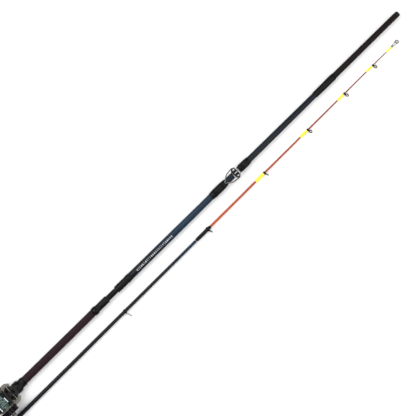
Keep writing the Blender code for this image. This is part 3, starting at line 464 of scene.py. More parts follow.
def soften_node(node, edge=0.35 * MM, material=None, crease=35):
    """The node's own shape with its corners eased, shaded smooth."""
    slot = NODE_SLOT[node]
    bm = bmesh.new()
    bm.from_mesh(frame["nodes"][node].data)
    bmesh.ops.remove_doubles(bm, verts=bm.verts, dist=0.002 * MM)
    bmesh.ops.dissolve_limit(bm, angle_limit=math.radians(1), verts=bm.verts, edges=bm.edges)
    piece = new_piece(node + "_finished", bm, material or SLOT_FINISH[slot], NODE_BODY[node], crease)
    bevel = piece.modifiers.new("Eased edges", "BEVEL")
    bevel.width = edge
    bevel.segments = 2
    bevel.limit_method = "ANGLE"
    bevel.angle_limit = math.radians(crease)
    bevel.harden_normals = False
    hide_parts(node)
    return piece


# ---------------------------------------------------------------- geometry nodes helpers
class Tree:
    """A Geometry Nodes tree with named inputs, which is run once and turned into a plain mesh."""

    def __init__(self, name, **inputs):
        self.group = bpy.data.node_groups.new(name, "GeometryNodeTree")
        self.group.interface.new_socket("Geometry", in_out="INPUT", socket_type="NodeSocketGeometry")
        kinds = {float: "NodeSocketFloat", int: "NodeSocketInt"}
        self.sockets = {}
        for label, value in inputs.items():
            socket = self.group.interface.new_socket(label, in_out="INPUT",
                                                     socket_type=kinds[type(value)])
            socket.default_value = value
            self.sockets[label] = (socket.identifier, value)
        self.group.interface.new_socket("Geometry", in_out="OUTPUT", socket_type="NodeSocketGeometry")
        self.entry = self.group.nodes.new("NodeGroupInput")
        self.exit = self.group.nodes.new("NodeGroupOutput")

    def input(self, label):
        return self.entry.outputs[label]

    def node(self, kind, settings=None, values=None):
        made = self.group.nodes.new(kind)
        for key, value in (settings or {}).items():
            setattr(made, key, value)
        for key, value in (values or {}).items():
            if isinstance(value, bpy.types.NodeSocket):
                self.group.links.new(value, made.inputs[key])
            else:
                made.inputs[key].default_value = value
        return made

    def run(self, name, geometry, material, body, transform=None, base=None, smooth=35):
        """Ends the tree, applies it and returns the finished piece."""
        real = self.node("GeometryNodeRealizeInstances", values={"Geometry": geometry})
        painted = self.node("GeometryNodeSetMaterial", values={"Geometry": real.outputs[0],
                                                               "Material": material})
        self.group.links.new(painted.outputs[0], self.exit.inputs[0])
        carrier = bpy.data.objects.new(name + "_source", base or bpy.data.meshes.new(name + "_source"))
        bpy.context.scene.collection.objects.link(carrier)
        modifier = carrier.modifiers.new("Build", "NODES")
        modifier.node_group = self.group
        for identifier, value in self.sockets.values():
            modifier[identifier] = value
        graph = bpy.context.evaluated_depsgraph_get()
        graph.update()
        mesh = bpy.data.meshes.new_from_object(carrier.evaluated_get(graph))
        bpy.data.objects.remove(carrier)
        mesh.name = name
        if transform is not None:
            mesh.transform(transform)
        mesh.shade_smooth()
        mesh.set_sharp_from_angle(angle=math.radians(smooth))
        piece = bpy.data.objects.new(name, mesh)
        bpy.context.scene.collection.objects.link(piece)
        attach(piece, body)
        return piece


def wind_thread(name, start, end, start_radius, end_radius, thread, material, body,
                axis=ROD_AXIS):
    """Turns of round thread side by side along an axis, from one station to another."""
    count = max(2, int((end - start) / (thread * 0.94)))
    tree = Tree("thread_winding", Count=count, Thread_Radius=thread / 2, First_Radius=start_radius,
                Last_Radius=end_radius)
    line = tree.node("GeometryNodeMeshLine", {"mode": "END_POINTS", "count_mode": "TOTAL"},
                     {"Count": tree.input("Count"), "Start Location": (start, 0, 0),
                      "Offset": (end, 0, 0)})
    index = tree.node("GeometryNodeInputIndex")
    radius = tree.node("ShaderNodeMapRange", values={
        "Value": index.outputs[0], "From Min": 0.0, "From Max": tree.input("Count"),
        "To Min": tree.input("First_Radius"), "To Max": tree.input("Last_Radius")})
    hoop = tree.node("GeometryNodeCurvePrimitiveCircle", values={"Resolution": 40, "Radius": 1.0})
    points = tree.node("GeometryNodeInstanceOnPoints", values={
        "Points": line.outputs[0], "Instance": hoop.outputs[0],
        "Rotation": (0, math.pi / 2, 0), "Scale": radius.outputs[0]})
    loops = tree.node("GeometryNodeRealizeInstances", values={"Geometry": points.outputs[0]})
    strand = tree.node("GeometryNodeCurvePrimitiveCircle", values={
        "Resolution": 5, "Radius": tree.input("Thread_Radius")})
    tube = tree.node("GeometryNodeCurveToMesh", values={"Curve": loops.outputs[0],
                                                        "Profile Curve": strand.outputs[0]})
    return tree.run(name, tube.outputs[0], material, body, axis_frame(axis), smooth=80)


def rib_ring(name, count, station, radius, size, material, body, axis=ROD_AXIS):
    """Grip ribs set round a turned piece: size is along, across and upright."""
    tree = Tree("rib_ring", Count=count, Radius=radius, Station=station)
    ring = tree.node("GeometryNodeMeshCircle", values={"Vertices": tree.input("Count"),
                                                       "Radius": tree.input("Radius")})
    outward = tree.node("GeometryNodeInputPosition")
    turn = tree.node("FunctionNodeAlignRotationToVector", {"axis": "X"}, {"Vector": outward.outputs[0]})
    rib = tree.node("GeometryNodeMeshCube", values={"Size": (size[2], size[1], size[0])})
    ribs = tree.node("GeometryNodeInstanceOnPoints", values={
        "Points": ring.outputs[0], "Instance": rib.outputs[0], "Rotation": turn.outputs[0]})
    height = tree.node("ShaderNodeCombineXYZ", values={"Z": tree.input("Station")})
    moved = tree.node("GeometryNodeTransform", values={"Geometry": ribs.outputs[0],
                                                       "Translation": height.outputs[0]})
    upright = Matrix.Rotation(math.pi / 2, 4, "Y")
    return tree.run(name, moved.outputs[0], material, body, axis_frame(axis) @ upright)


def screw_set(name, places, direction, radius, body, material):
    """Low round screw heads with a hexagon recess, on a list of places."""
    tree = Tree("screw_set", Head_Radius=radius, Head_Height=radius * 0.6)
    points = tree.node("NodeGroupInput")
    head = tree.node("GeometryNodeMeshCylinder", values={
        "Vertices": 20, "Radius": tree.input("Head_Radius"), "Depth": tree.input("Head_Height")})
    recess = tree.node("GeometryNodeMeshCylinder", values={
        "Vertices": 6, "Radius": radius * 0.5, "Depth": radius * 0.5})
    raised = tree.node("GeometryNodeTransform", values={"Geometry": recess.outputs[0],
                                                        "Translation": (0, 0, radius * 0.3)})
    holed = tree.node("GeometryNodeMeshBoolean", {"operation": "DIFFERENCE", "solver": "EXACT"},
                      {"Mesh 1": head.outputs[0], "Mesh 2": raised.outputs[0]})
    quaternion = Vector((0, 0, 1)).rotation_difference(Vector(direction))
    spread = tree.node("GeometryNodeInstanceOnPoints", values={
        "Points": points.outputs["Geometry"], "Instance": holed.outputs[0],
        "Rotation": tuple(quaternion.to_euler())})
    base = bpy.data.meshes.new(name + "_places")
    base.from_pydata([tuple(place) for place in places], [], [])
    return tree.run(name, spread.outputs[0], material, body, base=base)


# ---------------------------------------------------------------- handle
GRIP_RELIEF = 0.25 * MM
GRIP_PITCH = 1.1 * MM
GRIP_SIDES = 96
GRIP_STEP = 0.9 * MM
# how many steps the eased end of a grip takes, and how far it drops
GRIP_EASE_STEPS = 3
GRIP_EASE_DROP = 0.6 * MM
# a rib's length along the rod, width across it and height
BUTT_CAP_RIB = (12 * MM, 0.9 * MM, 0.5 * MM)
LOCK_NUT_RIB = (8 * MM, 1.1 * MM, 0.8 * MM)
LOCK_NUT_BORE = 9.9 * MM
# the joint socket: its ring from the rear end, its barrel, and the groove from the barrel's start
SOCKET_BORE = 5.5 * MM
SOCKET_RING = (4.2 * MM, 10.5 * MM)
BARREL_START = 14 * MM
BARREL_LENGTH = 31 * MM
GROOVE = (5 * MM, 6 * MM, 7 * MM)
GROOVE_DEPTH = 0.35 * MM
THREAD_CORE = 6.3 * MM
THREAD_ROOT = 6.15 * MM
THREAD_FADED = 6.2 * MM
THREAD_DEPTH = 0.7 * MM
THREAD_HALF_FOOT = 1.1 * MM
THREAD_HALF_CREST = 0.5 * MM
THREAD_LEAD_IN = 2.2 * MM
THREAD_PITCH = 3.2 * MM
THREAD_TURNS = 7
THREAD_SIDES = 48
THREAD_FADE_STEPS = 12


def woven_grip_piece(node, lift, strand_count, pitch):
    """A grip whose crossed strands stand a little proud of each other."""
    low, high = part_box(node)
    start, end = low[0], high[0]
    first, last = radius_at(node, start), radius_at(node, end)
    steps = int((end - start) / GRIP_STEP)
    outline = []
    for step in range(steps + 1):
        share = step / steps
        shoulder = min(1, share * steps / GRIP_EASE_STEPS, (1 - share) * steps / GRIP_EASE_STEPS)
        radius = first + (last - first) * share
        outline.append((start + (end - start) * share, radius - GRIP_EASE_DROP * (1 - shoulder) ** 2))
    bore = radius_at("reel_seat_tube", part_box("reel_seat_tube")[0][0]) + FIT
    outline = [(start, bore)] + outline + [(end, bore)]
    bm = spin_outline(outline, ROD_AXIS, GRIP_SIDES)
    for vert in bm.verts:
        angle = math.atan2(vert.co.y, vert.co.z)
        wave = math.sin(strand_count * angle + vert.co.x / pitch) * math.sin(
            strand_count * angle - vert.co.x / pitch)
        radius = math.hypot(vert.co.y, vert.co.z)
        if start < vert.co.x < end:
            scale = (radius + lift * (wave - 1) / 2) / radius
            vert.co.y *= scale
            vert.co.z *= scale
    piece = new_piece(node + "_woven", bm, WEAVE, NODE_BODY[node], 60)
    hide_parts(node)


def make_handle():
    for node in ("rear_grip", "foregrip"):
        woven_grip_piece(node, GRIP_RELIEF, GRIP_STRANDS, GRIP_PITCH)
    turn_node("butt_cap", ROD_AXIS, corner=2 * MM)
    for node in ("front_hood", "sliding_hood", "reel_seat_tube", "end_plug"):
        soften_node(node, 0.5 * MM)
    cap_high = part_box("butt_cap")[1]
    rib_ring("butt_cap_ribs", 40, cap_high[0] * 0.55, cap_high[2] - 0.3 * MM, BUTT_CAP_RIB,
             RUBBER, NODE_BODY["butt_cap"])
    turn_node("lock_nut", ROD_AXIS, bore=LOCK_NUT_BORE, corner=0.8 * MM)
    low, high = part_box("lock_nut")
    rib_ring("lock_nut_ribs", 36, (low[0] + high[0]) / 2, high[2] - 0.2 * MM,
             LOCK_NUT_RIB, OLIVE, NODE_BODY["lock_nut"])
    make_thread()


def make_thread():
    """The screwed front of the handle, with a true helical thread."""
    low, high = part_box("joint_socket")
    ring = high[2]
    barrel_start = low[0] + BARREL_START
    thread_start = barrel_start + BARREL_LENGTH
    barrel = radius_at("joint_socket", barrel_start)
    outline = [(low[0], radius_at("joint_socket", low[0])), (low[0] + SOCKET_RING[0], ring),
               (low[0] + SOCKET_RING[1], ring), (barrel_start, barrel), (barrel_start + GROOVE[0], barrel),
               (barrel_start + GROOVE[1], barrel - GROOVE_DEPTH), (barrel_start + GROOVE[2], barrel),
               (thread_start, barrel), (thread_start, THREAD_CORE), (high[0], THREAD_CORE)]
    turn_node("joint_socket", ROD_AXIS, bore=SOCKET_BORE, outside=outline)
    steps = THREAD_SIDES * THREAD_TURNS
    bm = bmesh.new()
    rings = []
    for step in range(steps + 1):
        angle = 2 * math.pi * step / THREAD_SIDES
        fade = min(1, step / THREAD_FADE_STEPS, (steps - step) / THREAD_FADE_STEPS)
        centre = thread_start + THREAD_LEAD_IN + THREAD_PITCH * step / THREAD_SIDES
        crest = THREAD_FADED + THREAD_DEPTH * fade
        section = ((-THREAD_HALF_FOOT, THREAD_ROOT), (-THREAD_HALF_CREST, crest),
                   (THREAD_HALF_CREST, crest), (THREAD_HALF_FOOT, THREAD_ROOT))
        rings.append([bm.verts.new((centre + along, radius * math.sin(angle), radius * math.cos(angle)))
                      for along, radius in section])
    skin_rings(bm, rings)
    bm.faces.new(rings[0])
    bm.faces.new(rings[-1][::-1])
    new_piece("joint_thread", bm, GLOSS, NODE_BODY["joint_socket"], 30)


# ---------------------------------------------------------------- butt section
BLANK_NECK = 6.6 * MM
BLANK_BORE = 3.6 * MM
FERRULE_BORE = 5.1 * MM
FERRULE_WRAP_BORE = 7.0 * MM
GUIDE_WRAP_BORE = 7.4 * MM
COUPLING_NUT_BORE = 7.2 * MM
COUPLING_NUT_RIB = (7 * MM, 0.7 * MM, 0.5 * MM)
COLLAR_BORE = 6.9 * MM
TRIM_WIDTH = 1.2 * MM
TRIM_THREAD = 0.4 * MM
# the label: its start and end from the collar, then its marks, whose widths and heights are in millimetres
LABEL_START = 18 * MM
LABEL_END = 124 * MM
MARK_PITCH = 4.4 * MM
MARK_WIDTHS = (1.9, 2.2, 2.5)
MARK_HEIGHTS = (3.8, 4.4, 5.0)
MARK_TURN = 0.12
MARK_RISE = 0.05 * MM
MARK_THICKNESS = 0.06 * MM


def make_butt_section():
    blank_low, blank_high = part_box("butt_blank")
    collar_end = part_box("blank_collar")[1][0] + FIT
    neck_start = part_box("joint_socket")[1][0] + FIT
    shoulder = blank_high[2]
    spigot = radius_at("butt_blank", blank_low[0])
    outline = [(blank_low[0], spigot), (neck_start, spigot), (neck_start, BLANK_NECK),
               (collar_end, BLANK_NECK), (collar_end, shoulder),
               (blank_high[0], radius_at("butt_blank", blank_high[0]))]
    turn_node("butt_blank", ROD_AXIS, bore=BLANK_BORE, corner=0.3 * MM, outside=outline)
    turn_node("ferrule_sleeve", ROD_AXIS, bore=FERRULE_BORE)
    turn_node("ferrule_wrap", ROD_AXIS, bore=FERRULE_WRAP_BORE, corner=4 * MM)
    make_nut_and_collar()
    for node in ("stripper_wrap_rear", "stripper_wrap_front"):
        turn_node(node, ROD_AXIS, bore=GUIDE_WRAP_BORE, corner=7 * MM)
        low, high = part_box(node)
        length = high[0] - low[0]
        wind_thread(node + "_turns", low[0] + 0.2 * length, high[0] - 0.2 * length,
                    high[2] - 0.12 * MM, high[2] - 0.32 * MM, 0.5 * MM, GLOSS, NODE_BODY[node])
    make_stripper()
    make_label()
    make_winding_checks()


def make_nut_and_collar():
    """The coupling nut carries two ribbed bands; the collar behind the blank is a plain flare."""
    low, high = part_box("coupling_nut")
    turn_node("coupling_nut", ROD_AXIS, bore=COUPLING_NUT_BORE, corner=0.7 * MM)
    for number, share in enumerate((0.3, 0.7), start=1):
        rib_ring("coupling_nut_ribs_%d" % number, 40, low[0] + (high[0] - low[0]) * share,
                 high[2] - 0.15 * MM, COUPLING_NUT_RIB, GLOSS, NODE_BODY["coupling_nut"])
    turn_node("blank_collar", ROD_AXIS, bore=COLLAR_BORE, corner=1.5 * MM)


def make_winding_checks():
    """Two narrow glossy windings at the ends of the ferrule wrap."""
    low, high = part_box("ferrule_wrap")
    spots = {"ferrule_trim": (high[0] + 0.6 * MM, 0.25 * MM),
             "ferrule_trim_rear": (low[0] + 1 * MM, 0.3 * MM)}
    for name, (station, rise) in spots.items():
        radius = radius_at("ferrule_sleeve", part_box("ferrule_sleeve")[0][0]) + rise
        wind_thread(name, station, station + TRIM_WIDTH, radius, radius, TRIM_THREAD, GLOSS, "butt_section")


def make_label():
    """A row of plain abstract marks along the top of the blank, where a label would be."""
    blank_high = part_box("butt_blank")[1]
    collar_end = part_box("blank_collar")[1][0] + FIT
    x, end = collar_end + LABEL_START, collar_end + LABEL_END
    first, last = blank_high[2], radius_at("butt_blank", blank_high[0])
    marks = bmesh.new()
    draw = np.random.default_rng(7)
    while x < end:
        width = draw.choice(MARK_WIDTHS) * MM
        share = (x - collar_end) / (blank_high[0] - collar_end)
        radius = first + (last - first) * share + MARK_RISE
        height = draw.choice(MARK_HEIGHTS) * MM
        corners = []
        for across in (-height / 2, 0, height / 2):
            angle = MARK_TURN + across / radius
            corners.append([(x + along, -radius * math.sin(angle), radius * math.cos(angle))
                            for along in (0, width)])
        strip = [[marks.verts.new(point) for point in pair] for pair in corners]
        for low, high in zip(strip, strip[1:]):
            marks.faces.new((low[0], low[1], high[1], high[0]))
        x += MARK_PITCH
    bmesh.ops.solidify(marks, geom=marks.faces[:], thickness=MARK_THICKNESS)
    new_piece("blank_marks", marks, PRINT, "butt_section", 35)


# a ring's section: its corners, and how full its rounding is
SECTION_SIDES = 12
SECTION_POWER = 0.8


def leaned_ring(name, node, outer, bore, thickness, centre, normal, material, sides=56):
    """A ring with fully rounded edges, on a given centre and normal."""
    mean, half = (outer + bore) / 2, (outer - bore) / 2
    bm = bmesh.new()
    turn = Vector((0, 0, 1)).rotation_difference(Vector(normal)).to_matrix().to_4x4()
    place = Matrix.Translation(centre) @ turn
    rings = []
    for i in range(sides):
        a = 2 * math.pi * i / sides
        ring = []
        for j in range(SECTION_SIDES):
            b = 2 * math.pi * j / SECTION_SIDES
            radius = mean + half * math.copysign(abs(math.cos(b)) ** SECTION_POWER, math.cos(b))
            height = thickness / 2 * math.copysign(abs(math.sin(b)) ** SECTION_POWER, math.sin(b))
            ring.append(bm.verts.new(place @ Vector((radius * math.cos(a), radius * math.sin(a), height))))
        rings.append(ring)
    skin_rings(bm, rings + rings[:1])
    return new_piece(name, bm, material, NODE_BODY[node], 50)


# a direction that no wire runs along
SKEW = Vector((0.13, 0.31, 0.94))


def bent_wire(name, points, radii, material, body, steps=10, sides=12):
    """A round wire through a few points on a smooth curve, tapering between the given radii."""
    spots = [Vector(p) for p in points]
    padded = [2 * spots[0] - spots[1]] + spots + [2 * spots[-1] - spots[-2]]
    path = []
    for i in range(1, len(padded) - 2):
        p0, p1, p2, p3 = padded[i - 1:i + 3]
        for step in range(steps):
            t = step / steps
            path.append(0.5 * (2 * p1 + (p2 - p0) * t + (2 * p0 - 5 * p1 + 4 * p2 - p3) * t ** 2
                               + (3 * p1 - p0 - 3 * p2 + p3) * t ** 3))
    path.append(spots[-1])
    bm = bmesh.new()
    rings = []
    for i, point in enumerate(path):
        ahead = path[min(i + 1, len(path) - 1)] - path[max(i - 1, 0)]
        side = ahead.cross(SKEW).normalized()
        upward = side.cross(ahead).normalized()
        radius = float(np.interp(i / (len(path) - 1), np.linspace(0, 1, len(radii)), radii))
        rings.append([bm.verts.new(point + radius * (math.cos(2 * math.pi * k / sides) * side
                                                     + math.sin(2 * math.pi * k / sides) * upward))
                      for k in range(sides)])
    skin_rings(bm, rings)
    bm.faces.new(rings[0][::-1])
    bm.faces.new(rings[-1])
    return new_piece(name, bm, material, body, 50)


STRIPPER_LEAN = math.radians(30)
STRIPPER_OUTER = 14 * MM
STRIPPER_RIM_BORE = 12.85 * MM
STRIPPER_RIM_THICKNESS = 3.0 * MM
# the black insert's outer radius, bore radius and thickness
STRIPPER_INSERT = (12.8 * MM, 10 * MM, 3.6 * MM)
STRIPPER_FOOT_RISE = 2.0 * MM
# how far inside the rim's outer edge the legs and the strut end
STRIPPER_WIRE_INSET = 0.8 * MM
# radii from foot to ring, and for the strut from ring to foot
STRIPPER_LEG_RADII = (1.0 * MM, 1.25 * MM, 1.15 * MM)
STRIPPER_STRUT_RADII = (1.0 * MM, 1.1 * MM, 0.6 * MM)


def make_stripper():
    """The first guide: a bright ring on wire legs, leaning forward, round a hard black insert."""
    low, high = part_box("stripper_frame")
    insert_low, insert_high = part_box("stripper_ring")
    centre = (Vector(insert_low) + Vector(insert_high)) / 2
    normal = Vector((math.cos(STRIPPER_LEAN), 0, -math.sin(STRIPPER_LEAN)))
    insert = leaned_ring("stripper_insert", "stripper_ring", *STRIPPER_INSERT, centre, normal, CERAMIC)
    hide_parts("stripper_ring")
    rim = leaned_ring("stripper_rim", "stripper_frame", STRIPPER_OUTER, STRIPPER_RIM_BORE,
                      STRIPPER_RIM_THICKNESS, centre, normal, STEEL)
    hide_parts("stripper_frame")
    body = NODE_BODY["stripper_frame"]
    foot_top = radius_at("butt_blank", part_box("butt_blank")[1][0]) + STRIPPER_FOOT_RISE
    for side, name in ((-1, "right"), (1, "left")):
        shoulder = centre + Vector((-0.6 * MM, side * (STRIPPER_OUTER - STRIPPER_WIRE_INSET), 1.5 * MM))
        leg = [(low[0] - 3 * MM, side * 1.2 * MM, foot_top),
               (low[0] + 3 * MM, side * 4.5 * MM, foot_top + 0.6 * MM),
               (low[0] + 12 * MM, side * 11 * MM, foot_top + 5.5 * MM), shoulder]
        bent_wire("stripper_leg_" + name, leg, STRIPPER_LEG_RADII, SMOKED, body)
    lowest = centre + Matrix.Rotation(STRIPPER_LEAN, 3, "Y") @ Vector(
        (0, 0, -STRIPPER_OUTER + STRIPPER_WIRE_INSET))
    strut = [lowest, (high[0] - 4 * MM, 0, foot_top + 0.2 * MM), (high[0] + 1 * MM, 0, foot_top)]
    bent_wire("stripper_strut", strut, STRIPPER_STRUT_RADII, STEEL, body)


# ---------------------------------------------------------------- tip section
# ring's distance from the rod's axis, its outer and its bore radius, in millimetres
GUIDE_SIZES = ((13.6, 6.0, 4.3), (9.2, 4.1, 2.8), (7.1, 4.0, 2.6), (6.8, 4.3, 2.6), (6.5, 4.3, 2.6),
               (6.2, 4.3, 2.6))
GUIDE_LEAN = math.radians(18)
GUIDE_TURN = math.radians(40)
TIP_RING_LEAN = math.radians(58)
TIP_RING_RADIUS = 4.2 * MM
TIP_RING_HALF_WIDTH = 0.9 * MM
TIP_SLEEVE_RISE = 0.2 * MM
TIP_SLEEVE_BORE = 2.4 * MM
TIP_SLEEVE_THICKNESS = 2.6 * MM
TURNED_GUIDES = (4, 5, 6)
GUIDE_RING_WALL_START = 0.5 * MM
GUIDE_RING_THICKNESS = 1.7 * MM
GUIDE_LINING_WALL = 0.6 * MM
GUIDE_LINING_THICKNESS = 2.0 * MM
GUIDE_LEG_RADII = (0.75 * MM, 0.6 * MM, 0.55 * MM)
COLLAR_LENGTH = 4 * MM
COLLAR_EDGE_DROP = 0.5 * MM
COLLAR_WALL = 0.85 * MM


def make_tip_section():
    start, end = end_centres("lower_blank")
    axis = (start, (end - start).normalized())
    for node in ("lower_blank", "glass_tip"):
        turn_node(node, axis, sides=40, corner=0.2 * MM)
    turn_node("tip_section_cap", axis, corner=1 * MM, sides=48)
    turn_node("splice_sleeve", axis, corner=4 * MM, sides=40)
    for node in ("guide_3_wrap", "guide_4_wrap", "guide_5_wrap", "guide_6_wrap", "tip_wrap"):
        outside = outline_of(node, axis)
        turn_node(node, axis, corner=2 * MM, sides=32, bore=outside[0][1] * 0.8)
        length = outside[-1][0] - outside[0][0]
        wind_thread(node + "_turns", outside[0][0] + 0.25 * length, outside[-1][0] - 0.25 * length,
                    outside[1][1] - 0.13 * MM, outside[-2][1] - 0.13 * MM, 0.4 * MM, YELLOW,
                    NODE_BODY[node], axis)
    for number in range(1, len(GUIDE_SIZES) + 1):
        make_guide(number, axis)
    soften_node("tip_top", 0.15 * MM, SMOKED)
    base = axis_frame(axis)
    to_axis = base.inverted()
    far = max((to_axis @ Vector(point)).x for point in points_of("tip_top"))
    centre = base @ Vector((far - TIP_RING_RADIUS * math.sin(TIP_RING_LEAN)
                            - TIP_RING_HALF_WIDTH * math.cos(TIP_RING_LEAN), 0, 0))
    normal = base.to_3x3() @ Vector((math.cos(TIP_RING_LEAN), 0, -math.sin(TIP_RING_LEAN)))
    leaned_ring("tip_ring_sleeve", "tip_top", TIP_RING_RADIUS + TIP_SLEEVE_RISE, TIP_SLEEVE_BORE,
                TIP_SLEEVE_THICKNESS, centre, normal, CERAMIC, 40)


def make_guide(number, axis):
    """A lined ring on two wire legs, which stand on a lacquered collar."""
    node = "guide_%d" % number
    reach, outer, bore = (size * MM for size in GUIDE_SIZES[number - 1])
    base = axis_frame(axis)
    station, collar_radius = outline_of_collar(node, axis)
    turn = Matrix.Rotation(GUIDE_LEAN, 3, "Z")
    if number in TURNED_GUIDES:
        turn = turn @ Matrix.Rotation(GUIDE_TURN, 3, "Y")
    centre = base @ Vector((station, -reach, 0))
    normal = base.to_3x3() @ turn @ Vector((1, 0, 0))
    body = NODE_BODY[node]
    bright = STEEL if number == 1 else GLOSS
    ring = leaned_ring(node + "_ring", node, outer, bore + GUIDE_RING_WALL_START, GUIDE_RING_THICKNESS,
                       centre, normal, bright, 40)
    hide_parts(node)
    leaned_ring(node + "_lining", node, bore + GUIDE_LINING_WALL, bore, GUIDE_LINING_THICKNESS, centre,
                normal, CERAMIC, 40)
    spread = outer * 0.55
    for side, label in ((-1, "lower"), (1, "upper")):
        rim = base @ (Vector((station, -reach, 0)) + turn @ Vector((0, outer * 0.75, side * spread)))
        foot = base @ Vector((station - 3 * MM, -collar_radius + 0.4 * MM, side * 0.5 * MM))
        bent_wire(node + "_leg_" + label, [foot, (foot + rim) / 2 + Vector((0, 0, side * 0.4 * MM)), rim],
                  GUIDE_LEG_RADII, bright, body, 6, 8)
    outline = [(station - COLLAR_LENGTH, collar_radius - COLLAR_EDGE_DROP),
               (station - 2.8 * MM, collar_radius), (station - 0.8 * MM, collar_radius),
               (station, collar_radius - COLLAR_EDGE_DROP)]
    bore_radius = collar_radius - COLLAR_WALL
    outline = [(outline[0][0], bore_radius)] + outline + [(outline[-1][0], bore_radius)]
    bm = spin_outline(outline + [outline[0]], axis, 32)
    bmesh.ops.remove_doubles(bm, verts=bm.verts, dist=1e-7)
    new_piece(node + "_collar", bm, GLOSS, body, 40)


def outline_of_collar(node, axis):
    """The front station and the radius of the collar that a guide sits on."""
    to_axis = axis_frame(axis).inverted()
    local = [to_axis @ Vector(point) for point in points_of(node)]
    behind = [p for p in local if p.y > 0]
    return max(p.x for p in behind), max(math.hypot(p.y, p.z) for p in behind)


# ---------------------------------------------------------------- reel
REEL_NODES = ("reel_frame", "gear_cover", "palm_cover", "nose_cover", "rear_cover", "thumb_bar", "front_bar",
              "rear_bar", "guide_rail", "line_guide", "worm_shaft", "spool", "spool_pinion_shaft",
              "gear_side_bearing", "palm_side_bearing", "drive_gear", "drive_shaft", "drag_washer",
              "star_drag", "crank_arm", "crank_nut", "upper_knob", "lower_knob", "tension_cap", "brake_dial")
LINE_BORE = 7.4 * MM
LINE_THREAD = 0.5 * MM
NOSE_TOP = 33 * MM
# the black strip of painted shade behind the nose's recess: half its span, its depth and its rise
SHADE_STRIP_HALF_SPAN = 17.2 * MM
SHADE_STRIP_DEPTH = 4 * MM
SHADE_STRIP_RISE = 0.5 * MM
# bore and outer radius of the black sleeves of painted shade on the front bar's ends
SLEEVE_BORE = 1.5 * MM
SLEEVE_RADIUS = 1.9 * MM
# where the front bar's bright middle, the span of its highlight, starts and ends, from the bar's centre;
# black sleeves of painted shade cover the rest
HIGHLIGHT_MIDDLE = (-9 * MM, 4 * MM)
COVER_SCREW_RADIUS = 1.5 * MM
KNOB_SCREW_RADIUS = 1.6 * MM
SCREW_RISE = 0.1 * MM


def make_reel():
    for node in REEL_NODES:
        soften_node(node, 0.3 * MM)
    low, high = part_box("wound_line")
    centre = (Vector(low) + Vector(high)) / 2
    axis = (centre, Vector((0, 1, 0)))
    turn_node("wound_line", axis, LINE, bore=LINE_BORE, corner=0.3 * MM)
    half = (high[1] - low[1]) / 2
    radius = (high[2] - low[2]) / 2
    wind_thread("wound_line_turns", -half + 0.4 * MM, half - 0.4 * MM, radius, radius, LINE_THREAD, LINE,
                NODE_BODY["wound_line"], axis)
    make_reel_screws()
    make_nose_shade_strip()
    make_bar_shade_sleeves()


def block(name, low, high, material, body, edge=0.2 * MM):
    """A box between two corners, with eased edges."""
    bm = bmesh.new()
    bmesh.ops.create_cube(bm, size=1)
    middle, size = (Vector(low) + Vector(high)) / 2, Vector(high) - Vector(low)
    for vert in bm.verts:
        vert.co = middle + Vector(a * b for a, b in zip(vert.co, size))
    bmesh.ops.bevel(bm, geom=bm.edges[:], offset=edge, segments=2, affect="EDGES")
    return new_piece(name, bm, material, body, 40)


def make_nose_shade_strip():
    """A black strip along the back of the nose, behind its recess, laid on as painted shade of the dark
    opening.
    """
    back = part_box("nose_cover")[0][0] - SHADE_STRIP_DEPTH
    block("nose_shade_strip", (back, -SHADE_STRIP_HALF_SPAN, NOSE_TOP),
          (back + SHADE_STRIP_DEPTH, SHADE_STRIP_HALF_SPAN, NOSE_TOP + SHADE_STRIP_RISE), GLOSS, "handle")


def make_bar_shade_sleeves():
    """Black sleeves of painted shade over the two ends of the front bar, which leave only its middle, where
    the highlight falls, bright.
    """
    low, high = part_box("front_bar")
    centre = (Vector(low) + Vector(high)) / 2
    axis = (centre, Vector((0, 1, 0)))
    half = (high[1] - low[1]) / 2
    for name, start, end in (("front_bar_shade_sleeve_right", -half, HIGHLIGHT_MIDDLE[0]),
                             ("front_bar_shade_sleeve_left", HIGHLIGHT_MIDDLE[1], half)):
        profile = [(start, SLEEVE_BORE), (start, SLEEVE_RADIUS), (end, SLEEVE_RADIUS), (end, SLEEVE_BORE),
                   (start, SLEEVE_BORE)]
        bm = spin_outline(profile, axis, 32)
        bmesh.ops.remove_doubles(bm, verts=bm.verts, dist=0.001 * MM)
        new_piece(name, bm, GLOSS, "handle", 40)


def make_reel_screws():
    for node, side in (("gear_cover", -1), ("palm_cover", 1)):
        low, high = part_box(node)
        centre = (Vector(low) + Vector(high)) / 2
        reach = 0.36 * min(high[0] - low[0], high[2] - low[2])
        face = (low[1] if side < 0 else high[1]) + side * SCREW_RISE
        places = [(centre.x + reach * math.cos(a), face, centre.z + reach * math.sin(a))
                  for a in (math.radians(50), math.radians(170), math.radians(290))]
        screw_set(node + "_screws", places, (0, side, 0), COVER_SCREW_RADIUS, NODE_BODY[node], STEEL)
    for node in ("upper_knob", "lower_knob"):
        low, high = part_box(node)
        centre = (Vector(low) + Vector(high)) / 2
        screw_set(node + "_screw", [(centre.x, low[1] - SCREW_RISE, centre.z)], (0, -1, 0),
                  KNOB_SCREW_RADIUS, NODE_BODY[node], STEEL)


# ---------------------------------------------------------------- floor, lights and camera
WORLD_STRENGTH = 0.3
LIGHT_TARGET = (1.0, 0, 0)
# each lamp's name, place, size and power
LAMPS = (("key", (0.3, 1.4, 2.4), 3.0, 100),
         ("fill", (2.0, -1.4, 2.2), 3.0, 60))
CAMERA_TURN = math.radians(44.5)
CAMERA_PLACE = (1.027, -0.0126)
CAMERA_HEIGHT = 4.0
FIELD_WIDTH = 0.915
SENSOR_WIDTH = 36


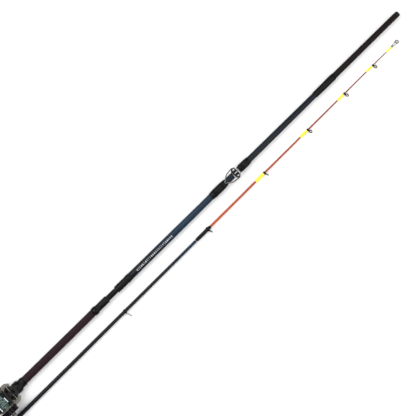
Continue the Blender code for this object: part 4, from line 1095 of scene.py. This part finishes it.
def make_floor():
    paper = bpy.data.materials.new("Pale floor")
    paper.use_nodes = True
    shader = paper.node_tree.nodes["Principled BSDF"]
    shader.inputs["Base Color"].default_value = (0.93, 0.93, 0.93, 1)
    shader.inputs["Roughness"].default_value = 0.9
    bm = bmesh.new()
    bmesh.ops.create_grid(bm, x_segments=1, y_segments=1, size=20)
    mesh = bpy.data.meshes.new("floor")
    bm.to_mesh(mesh)
    bm.free()
    floor = bpy.data.objects.new("floor", mesh)
    floor.location.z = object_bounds()[0][2] - 0.2 * MM
    mesh.materials.append(paper)
    bpy.context.scene.collection.objects.link(floor)


def make_lights():
    world = bpy.data.worlds.new("Studio")
    bpy.context.scene.world = world
    world.use_nodes = True
    world.node_tree.nodes["Background"].inputs["Color"].default_value = (1, 1, 1, 1)
    world.node_tree.nodes["Background"].inputs["Strength"].default_value = WORLD_STRENGTH
    for name, place, size, power in LAMPS:
        light = bpy.data.lights.new(name, "AREA")
        light.size = size
        light.energy = power
        lamp = bpy.data.objects.new(name, light)
        lamp.location = place
        aim = Vector(LIGHT_TARGET) - Vector(place)
        lamp.rotation_euler = aim.to_track_quat("-Z", "Y").to_euler()
        bpy.context.scene.collection.objects.link(lamp)


def make_camera():
    """Looks straight down, turned so that the rods run from corner to corner of the view."""
    bpy.context.scene.view_settings.view_transform = "Standard"
    right = Vector((math.cos(CAMERA_TURN), -math.sin(CAMERA_TURN), 0))
    upward = Vector((math.sin(CAMERA_TURN), math.cos(CAMERA_TURN), 0))
    camera = bpy.data.cameras.new("camera")
    camera.sensor_width = SENSOR_WIDTH
    camera.lens = SENSOR_WIDTH * CAMERA_HEIGHT / FIELD_WIDTH
    holder = bpy.data.objects.new("camera", camera)
    holder.matrix_world = Matrix(((right.x, upward.x, 0, CAMERA_PLACE[0]),
                                  (right.y, upward.y, 0, CAMERA_PLACE[1]),
                                  (0, 0, 1, CAMERA_HEIGHT), (0, 0, 0, 1)))
    bpy.context.scene.collection.objects.link(holder)
    bpy.context.scene.camera = holder


def main():
    make_handle()
    make_butt_section()
    make_tip_section()
    make_reel()
    make_floor()
    make_lights()
    make_camera()


main()
